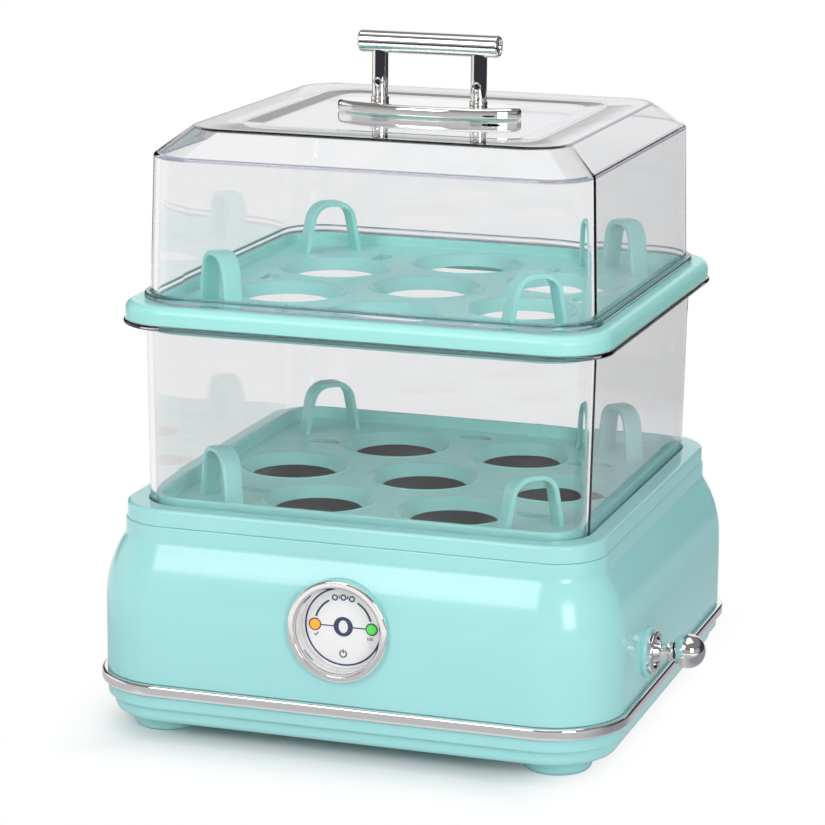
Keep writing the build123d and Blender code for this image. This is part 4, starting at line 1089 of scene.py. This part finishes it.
@dataclass
class EggTray:
    """An aqua tray with seven egg seats, steam slots and a lifting arch at each corner.

    Attributes:
        body: the tray's CAD body and node.
        floor: its floor's upper side.
        half: half the width inside its wall.
        quarter: how far its seats and slots are turned, in degrees.
    """

    body: str
    floor: float
    half: float
    quarter: bool
    floor_t: float = 1.8
    seat_top: float = 19.2
    seat_foot: float = 15.0
    seat_depth: float = 3.7
    seat_wall: float = 1.4
    seat_rise: float = 0.35
    pitch: float = 49.0
    row: float = 42.435
    slot_r: float = 6.0
    slot_at: float = 61.0
    side_slots: Pair = (51.0, 36.0)
    drilled: Pair = (-5.0, 3.0)
    arch_at: float = 55.4
    arch_points: Sequence[Pair] = ((-10.7, -0.9), (-7.0, 18.0), (7.0, 18.0), (10.7, -0.9))
    arch_bend: float = 6.9
    arch_width: float = 6.8
    arch_thick: float = 2.0

    def shell(self) -> list[Section]:
        """The tray without its holes; each tray has its own."""
        raise NotImplementedError

    def around(self, x: float, y: float, angle: float = 0.0) -> Matrix:
        """A place on the floor, turned by an angle in degrees, with both axes swapped on the turned tray."""
        spot = (y, x, self.floor) if self.quarter else (x, y, self.floor)
        return Matrix.Translation(spot) @ turned(angle + 90 * self.quarter)

    def seats(self) -> list[Matrix]:
        """The seven seats: rows of two, three and two."""
        rows = ((-self.row, 2), (0.0, 3), (self.row, 2))
        return [self.around((i - (count - 1) / 2) * self.pitch, y) for y, count in rows for i in range(count)]

    def slots(self) -> list[Matrix]:
        """Finds the half-moon slots.

        Returns:
            Their places, each with its straight side towards -Y.
        """
        x, y = self.side_slots
        sides = [self.around(right * x, back * y, 90 + 90 * back) for right, back in CORNERS]
        return sides + [self.around(0, -self.slot_at), self.around(0, self.slot_at, 180)]

    def half_moon(self, piece: Piece, place: Matrix) -> None:
        """Adds a half-moon block.

        Args:
            piece: the piece that it goes into.
            place: its place, with the straight side towards -Y.
        """
        low, high = self.drilled
        whole = Matrix.Translation((0, 0, (low + high) / 2))
        shape = bmesh.new()
        bmesh.ops.create_cone(shape, segments=ROUND_STEPS, radius1=self.slot_r, radius2=self.slot_r,
                              depth=high - low, cap_ends=True, matrix=whole)
        made = bmesh.ops.bisect_plane(shape, geom=[*shape.verts, *shape.edges, *shape.faces],
                                      plane_co=(0, -0.01, 0), plane_no=(0, 1, 0), clear_outer=True)
        cut = [item for item in made["geom_cut"] if isinstance(item, BMEdge)]
        bmesh.ops.edgeloop_fill(shape, edges=cut)
        piece.add(shape, place)

    def arches(self, piece: Piece) -> None:
        """Stands the four lifting arches on the tray's floor.

        Args:
            piece: the tray.
        """
        points = [Vector((0, y, z)) for y, z in self.arch_points]
        ribbon = Section(0, self.arch_width / 2, 1.3, depth=self.arch_thick / self.arch_width)
        side = Vector((1, 0, 0))
        for turn in (45, 135, 225, 315):
            stand = Matrix.Translation((0, 0, self.floor)) @ turned(turn)
            stand = stand @ Matrix.Translation((self.arch_at * math.sqrt(2), 0, 0))
            places = []
            for point, along in bent_path(points, self.arch_bend):
                axes = Matrix((side, along.cross(side), along)).transposed().to_4x4()
                places.append(stand @ Matrix.Translation(point) @ axes)
            piece.run(ribbon, places)

    def build(self) -> None:
        """Builds the tray."""
        tray = Piece(self.body.replace("_", "_egg_")).loft(self.shell())
        holes = Piece("holes")
        for place in self.seats():
            holes.rod(self.seat_top + 0.4, *self.drilled, place)
        for place in self.slots():
            self.half_moon(holes, place)
        tray.cut(holes)
        deep, rise, wall = self.seat_depth, self.seat_rise, self.seat_wall
        for place in self.seats():
            tray.loft(rounds(
                (-1.0, self.seat_top + wall, 0.2), (rise, self.seat_top + wall - 0.3, 0.35),
                (rise, self.seat_top, 0.7), (-deep, self.seat_foot, 0.4), (-deep, self.seat_foot + wall, 0.3),
            ), place, closed=True)
        self.arches(tray)
        tray.finish(Palette.TRAY, self.body, self.body)


@dataclass
class LowerTray(EggTray):
    """The lower tray, with a low wall whose skirt stands on the base's ring."""

    body: str = "lower_tray"
    floor: float = 77.2
    half: float = 73.2
    quarter: bool = False
    top: float = 81.7

    def shell(self) -> list[Section]:
        """The floor and its wall."""
        outer = self.half + WALL
        return squares(
            CLEAR, (self.floor, self.half, 1.0), (self.top, self.half, 0.8), (self.top, outer, 0.8),
            (CHAMBER_FOOT, outer, 0.4), (CHAMBER_FOOT, self.half), (self.floor - self.floor_t, self.half),
        )


@dataclass
class UpperTray(EggTray):
    """The upper tray, with a brim that caps the chamber and a skirt inside it."""

    body: str = "upper_tray"
    floor: float = 145.4
    half: float = 74.0
    quarter: bool = True
    brim: float = 84.7
    skirt: float = 76.2
    skirt_foot: float = 138.4

    def shell(self) -> list[Section]:
        """The floor, its brim and its skirt."""
        under, inside = BRIM_TOP - WALL, self.brim - WALL
        return [
            *squares(CLEAR, (self.floor, self.half, 1.0), (BRIM_TOP, self.half, 0.8)),
            *squares(BODY, (BRIM_TOP, self.brim, 3.0), (CHAMBER_TOP, self.brim, 0.4)),
            *squares(BODY, (CHAMBER_TOP, inside), (under, inside)),
            *squares(CLEAR, (under, self.skirt), (self.skirt_foot, self.skirt, 0.4)),
            *squares(CLEAR, (self.skirt_foot, self.half, 0.3), (self.floor - self.floor_t, self.half)),
        ]


@dataclass
class SteamChamber:
    """The clear chamber: drafted walls with a flange on top."""

    foot_half: float = 77.8
    top_half: float = 78.8
    flange_half: float = 85.4
    flange_t: float = 1.6

    def build(self) -> None:
        """Builds the chamber."""
        flange = CHAMBER_TOP - self.flange_t
        Piece("chamber_wall").loft([
            *squares(CLEAR, (CHAMBER_FOOT, self.foot_half, 0.6), (flange, self.top_half, 0.5)),
            *squares(BODY, (flange, self.flange_half, 0.6), (CHAMBER_TOP, self.flange_half, 0.6)),
            *squares(CLEAR, (CHAMBER_TOP, self.top_half - WALL, 0.5),
                     (CHAMBER_FOOT, self.foot_half - WALL, 0.6)),
        ], closed=True).finish(Palette.CLEAR, "chamber", "steam_chamber")


@dataclass
class Lid:
    """The clear lid: drafted walls, a sloped shoulder, a sunken panel and a steam vent.

    Attributes:
        panel, panel_edge: the panel's outline inside and outside its step, as half its width and its corner.
    """

    shoulder: float = 198.0
    top: float = 207.0
    wall: float = 2.2
    roof: float = 1.5
    sink: float = 0.7
    foot_half: float = 78.0
    shoulder_half: float = 76.6
    top_half: float = 65.7
    wall_centre: float = 60.6
    top_centre: float = 52.2
    flange: float = 2.2
    flange_half: float = 80.1
    panel: Pair = (46.0, 8.0)
    panel_edge: Pair = (52.5, 11.25)
    vent_at: Pair = (27.7, -17.0)
    vent_r: float = 3.4
    screw_r: float = 1.6

    def build(self) -> None:
        """Builds the lid and its holes."""
        foot, flange, under = BRIM_TOP, BRIM_TOP + self.flange, self.top - self.roof
        lid = Piece("lid_dome").loft([
            Section(self.top - self.sink, *self.panel, 0.25), Section(self.top, *self.panel_edge, 0.25),
            *squares(self.top_centre, (self.top, self.top_half, 0.7)),
            *squares(self.wall_centre, (self.shoulder, self.shoulder_half, 0.6),
                     (flange, self.foot_half - 0.05, 0.5), (flange, self.flange_half, 0.7),
                     (foot, self.flange_half, 0.7), (foot, self.foot_half - self.wall, 0.4),
                     (self.shoulder - 0.8, self.shoulder_half - self.wall, 0.5)),
            *squares(self.top_centre, (under, self.top_half - 0.8, 0.4)),
            Section(under, *self.panel_edge), Section(under - self.sink, *self.panel),
        ])
        holes = Piece("holes")
        spots = ((*self.vent_at, self.vent_r), (-POST_AT, 0.0, self.screw_r), (POST_AT, 0.0, self.screw_r))
        for x, y, radius in spots:
            holes.rod(radius, self.shoulder + 2.0, self.top + 3.0, Matrix.Translation((x, y, 0)))
        lid.cut(holes).finish(Palette.LID, "lid", "lid")


@dataclass
class BarHandle:
    """The chrome handle: an oval plate, two posts and a bar."""

    base: float = 206.3
    plate_top: float = 210.5
    plate_half: float = 33.3
    plate_depth: float = 11.0
    post_r: float = 2.8
    foot_r: float = 3.15
    foot_high: float = 1.6
    bar_z: float = 231.0
    bar_r: float = 3.9
    bar_half: float = 25.3
    screw_z: float = 217.1
    screw_hole: float = 1.05
    screw_rim: float = 1.6

    def plate(self) -> None:
        """The oval plate."""
        wide, depth = self.plate_half, self.plate_depth / self.plate_half
        Piece("handle_oval").loft([
            Section(self.base, wide, soft=1.0, depth=depth),
            Section(self.plate_top, wide, soft=1.7, depth=depth),
        ]).finish(Palette.CHROME, "lid", "handle_plate")

    def posts(self) -> None:
        """The posts, each with a foot collar and a set screw hole with a bright rim."""
        foot, neck, proud = self.plate_top, self.plate_top + self.foot_high, self.post_r + 0.2
        for side, x in (("left", -POST_AT), ("right", POST_AT)):
            aim = Side.FRONT.at(x, 0, self.screw_z)
            post = Piece(f"handle_post_{side}_turned").loft(rounds(
                (foot, self.foot_r, 0.3), (neck, self.foot_r, 0.3), (neck, self.post_r),
                (self.bar_z, self.post_r),
            ), Matrix.Translation((x, 0, 0)))
            post.cut(Piece("hole").rod(self.screw_hole - 0.05, 0.75, 4.0, aim))
            post.ring((self.screw_rim, self.screw_hole), (2.0, proud), aim, (0.15, 0.12))
            post.finish(Palette.CHROME, "lid", f"handle_post_{side}")

    def bar(self) -> None:
        """The bar with its bevelled, sunken ends."""
        end, radius, slope = self.bar_half, self.bar_r, 0.6
        half = ((end - slope, radius, 0.15), (end, radius - slope, 0.1), (end, radius - 1.2, 0.1),
                (end - slope, radius - 1.3, 0.1))
        Piece("handle_tube").loft(
            rounds(*((-z, *rest) for z, *rest in reversed(half)), *half), Side.RIGHT.at(0, 0, self.bar_z),
        ).finish(Palette.CHROME, "lid", "handle_bar")

    def build(self) -> None:
        """Builds the whole handle."""
        self.plate()
        self.posts()
        self.bar()


@dataclass
class Camera:
    """The photograph's camera, as it was fitted to the object."""

    eye_mm: Triple = (345.93, -1076.76, 362.16)
    back: Triple = (0.30181, -0.92630, 0.22558)
    roll_deg: float = 0.58
    focal_px: float = 3281.0
    frame_px: float = 825.0
    sensor_mm: float = 36.0
    reach_m: float = 30.0

    def build(self) -> None:
        """Sets up the camera with the photograph's place, turn and angle of view."""
        data = bpy.data.cameras.new("camera")
        data.sensor_width = self.sensor_mm
        data.sensor_fit = "HORIZONTAL"
        data.lens = self.focal_px * self.sensor_mm / self.frame_px
        data.clip_end = self.reach_m
        back = Vector(self.back).normalized()
        level = Vector((0, 0, 1)).cross(back).normalized()
        up = back.cross(level)
        turn = math.radians(self.roll_deg)
        right = level * math.cos(turn) + up * math.sin(turn)
        up = up * math.cos(turn) - level * math.sin(turn)
        seat = Matrix((right, up, back)).transposed().to_4x4()
        seat.translation = Vector(self.eye_mm) * MM
        camera = added("camera", data)
        camera.matrix_world = seat
        bpy.context.scene.camera = camera


@dataclass(frozen=True)
class SoftBox:
    """A rectangular soft box that faces the object, in metres and watts."""

    name: str
    place: Triple
    size: Pair
    power: float

    def build(self) -> None:
        """Hangs the lamp."""
        data = bpy.data.lights.new(self.name, "AREA")
        data.shape = "RECTANGLE"
        data.size, data.size_y = self.size
        data.energy = self.power
        lamp = added(self.name, data)
        lamp.location = self.place
        aim = Vector((0, 0, 0.1)) - Vector(self.place)
        lamp.rotation_euler = aim.to_track_quat("-Z", "Y").to_euler()


@dataclass
class Room:
    """A white room: plain light for the surfaces, with darker parts for what mirrors or bends it.

    Attributes:
        sky: what clear pieces see, as a ramp from below to above.
        back, horizon, right, left, strip, high: the soft edges of the white parts behind the object.
        low, low_top, front, upper: the soft edges of the grey part low in front, and of the grey ceiling.
    """

    light: float = 0.66
    sky: Sequence[tuple[float, Colour]] = (
        (0.0, WHITE), (0.54, WHITE), (0.62, (0.45, 0.45, 0.47)), (0.72, (0.14, 0.14, 0.17)),
        (0.88, (0.14, 0.14, 0.17)), (1.0, (0.45, 0.45, 0.47)),
    )
    dark: Colour = (0.04, 0.04, 0.05)
    warm: Colour = (1.0, 0.97, 0.94)
    back: Pair = (0.25, 0.45)
    horizon: Pair = (-0.2, -0.08)
    right: Pair = (0.05, 0.2)
    left: Pair = (0.45, 0.55)
    strip: Pair = (0.86, 0.93)
    high: Pair = (0.5, 0.75)
    low: Pair = (-0.08, 0.02)
    low_top: Pair = (0.3, 0.5)
    front: Pair = (-0.3, 0.1)
    low_tone: float = 0.4
    upper: Pair = (0.3, 0.55)
    upper_tone: float = 0.2

    def mirrored(self, recipe: Recipe, toward: Socket) -> Socket:
        """What chrome and gloss show of the room.

        Args:
            recipe: the world's nodes.
            toward: the ray's direction.

        Returns:
            The colour.
        """
        across, depth, height = recipe.split(toward)
        sides = across.above(*self.right).most((-across).above(*self.left))
        behind = depth.above(*self.back) * height.above(*self.horizon) * (1.0 - sides)
        white = behind.most((-across).above(*self.strip)) * (1.0 - height.above(*self.high))
        low = height.above(*self.low) * (1.0 - height.above(*self.low_top)) * (-depth).above(*self.front)
        grey = (low * self.low_tone).most(height.above(*self.upper) * self.upper_tone)
        return recipe.blend(white, recipe.blend(grey, self.dark, self.warm), WHITE)

    def build(self) -> None:
        """Sets the world up."""
        world = bpy.data.worlds.new("studio")
        world.use_nodes = True
        bpy.context.scene.world = world
        recipe = Recipe(world.node_tree)
        toward = recipe.node("ShaderNodeTexCoord", {}).outputs["Generated"]
        height = recipe.split(toward)[2]
        sky = recipe.node("ShaderNodeValToRGB", {0: height * 0.5 + 0.5}, stops=self.sky).outputs[0]
        room = self.mirrored(recipe, toward)
        path = recipe.node("ShaderNodeLightPath", {}).outputs
        shown = recipe.node("ShaderNodeBackground", {"Color": WHITE, "Strength": self.light}).outputs[0]
        for ray, colour in (("Is Glossy Ray", room), ("Is Transmission Ray", sky), ("Is Camera Ray", WHITE)):
            part = recipe.node("ShaderNodeBackground", {"Color": colour}).outputs[0]
            shown = recipe.mix(path[ray], shown, part)
        recipe.node("ShaderNodeOutputWorld", {"Surface": shown})


@dataclass
class Floor:
    """A floor of lit paper, with painted light for the camera: none right by the object, where the real shadow
    shows, an even glow further out and plain white beyond, which paints over any shadow there.

    Attributes:
        outset: how much nearer its zones come on the right and on the left, in metres like every edge here.
        mirror: the soft edge and the colour of each zone that gloss shows, from the object outwards.
        side_x, side_y: the edges of the dimmer zone that the right side mirrors.
        far, side_far: where the floor gets dark to gloss, all round and in that zone.
    """

    size: float = 0.75
    paper: Colour = (0.82, 0.82, 0.82)
    outset: Pair = (0.04, 0.02)
    # Painted light: beyond painted_lift_edge the camera sees an even glow added to the paper, so the ground
    # nearer the object stays darker as painted shade.
    painted_lift_edge: Pair = (0.07, 0.13)
    painted_lift: Colour = (0.2, 0.2, 0.2)
    # Painted light: beyond painted_white_edge the camera sees plain white, which paints over any shadow there.
    painted_white_edge: Pair = (0.095, 0.135)
    mirror: Sequence[tuple[Pair, Colour]] = (((0.12, 0.14), (0.58, 0.57, 0.6)), ((0.21, 0.25), WHITE))
    side_x: Pair = (0.095, 0.13)
    side_y: Pair = (-0.13, -0.06)
    side_tone: Colour = (0.3, 0.3, 0.34)
    far: Pair = (0.7, 0.72)
    side_far: Pair = (0.4, 0.5)
    far_tone: Colour = (0.05, 0.05, 0.05)

    def dress(self, recipe: Recipe) -> None:
        """Plain paper, with painted light that lifts it for the camera away from the object and paints it white
        further out, and toned in zones for what gloss shows of it.

        Args:
            recipe: the floor's nodes.
        """
        east, north, _ = recipe.split(recipe.place())
        right, left = self.outset
        out = (east + right).most(-east + left).most(north).most(-north)
        side = east.above(*self.side_x) * north.above(*self.side_y)
        far = out.above(*self.far).most(side * out.above(*self.side_far))
        paper = recipe.shader({"Base Color": self.paper, "Roughness": 0.9, "Specular IOR Level": 0.0})
        # Painted light for the camera: a glow added to the paper away from the object, and plain white further
        # out.
        paper_with_painted_lift = recipe.node("ShaderNodeAddShader", {0: paper, 1: recipe.glow(self.painted_lift)}).outputs[0]
        near = recipe.mix(out.above(*self.painted_lift_edge), paper, paper_with_painted_lift)
        seen = recipe.mix(out.above(*self.painted_white_edge), near, recipe.glow(WHITE))
        mirrored = paper
        zones = [(out.above(*edge), tone) for edge, tone in self.mirror]
        for mask, tone in (*zones, (side, self.side_tone), (far, self.far_tone)):
            mirrored = recipe.mix(mask, mirrored, recipe.glow(tone))
        path = recipe.node("ShaderNodeLightPath", {}).outputs
        straight = Value(recipe, path["Is Camera Ray"]).most(Value(recipe, path["Is Transmission Ray"]))
        recipe.finish(recipe.mix(straight, recipe.mix(path["Is Glossy Ray"], paper, mirrored), seen))

    def build(self) -> None:
        """Lays the floor."""
        shape = bmesh.new()
        bmesh.ops.create_grid(shape, x_segments=1, y_segments=1, size=self.size)
        mesh = meshed("floor", shape)
        material = bpy.data.materials.new("floor_paper")
        material.use_nodes = True
        self.dress(Recipe(material.node_tree))
        mesh.materials.append(material)
        added("floor", mesh)


@dataclass
class Studio:
    """A white room with three soft boxes, and a camera where the photograph was taken."""

    boxes: Sequence[SoftBox] = (
        SoftBox("front_box", (-0.45, -1.25, 0.93), (0.52, 0.66), 5.6),
        SoftBox("corner_box", (0.98, -1.1, 0.5), (0.44, 0.6), 6.0),
        SoftBox("top_box", (0.1, -0.1, 1.5), (1.2, 1.2), 5.0),
    )

    def build(self) -> None:
        """Sets up the whole studio."""
        bpy.context.scene.view_settings.view_transform = "Standard"
        for part in (Camera(), Room(), Floor(), *self.boxes):
            part.build()


def dress_nodes() -> None:
    """Gives every carried-over node its finish."""
    for name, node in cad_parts.items():
        finish = NODE_FINISH.get(name, Palette.STEEL)
        node.data.materials.clear()
        node.data.materials.append(finish.value.material())
        LOG.info("%s is %s", name, finish.value.name)


def main() -> None:
    """Builds the cooker, sub-assembly by sub-assembly, and the studio."""
    logging.basicConfig(level=logging.INFO, format="%(name)s: %(message)s")
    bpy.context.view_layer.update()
    dress_nodes()
    for made in (Base, Dial, LeverSwitch, LowerTray, UpperTray, SteamChamber, Lid, BarHandle, Studio):
        LOG.info("building %s", made.__name__)
        made().build()


if __name__ == "__main__":
    main()
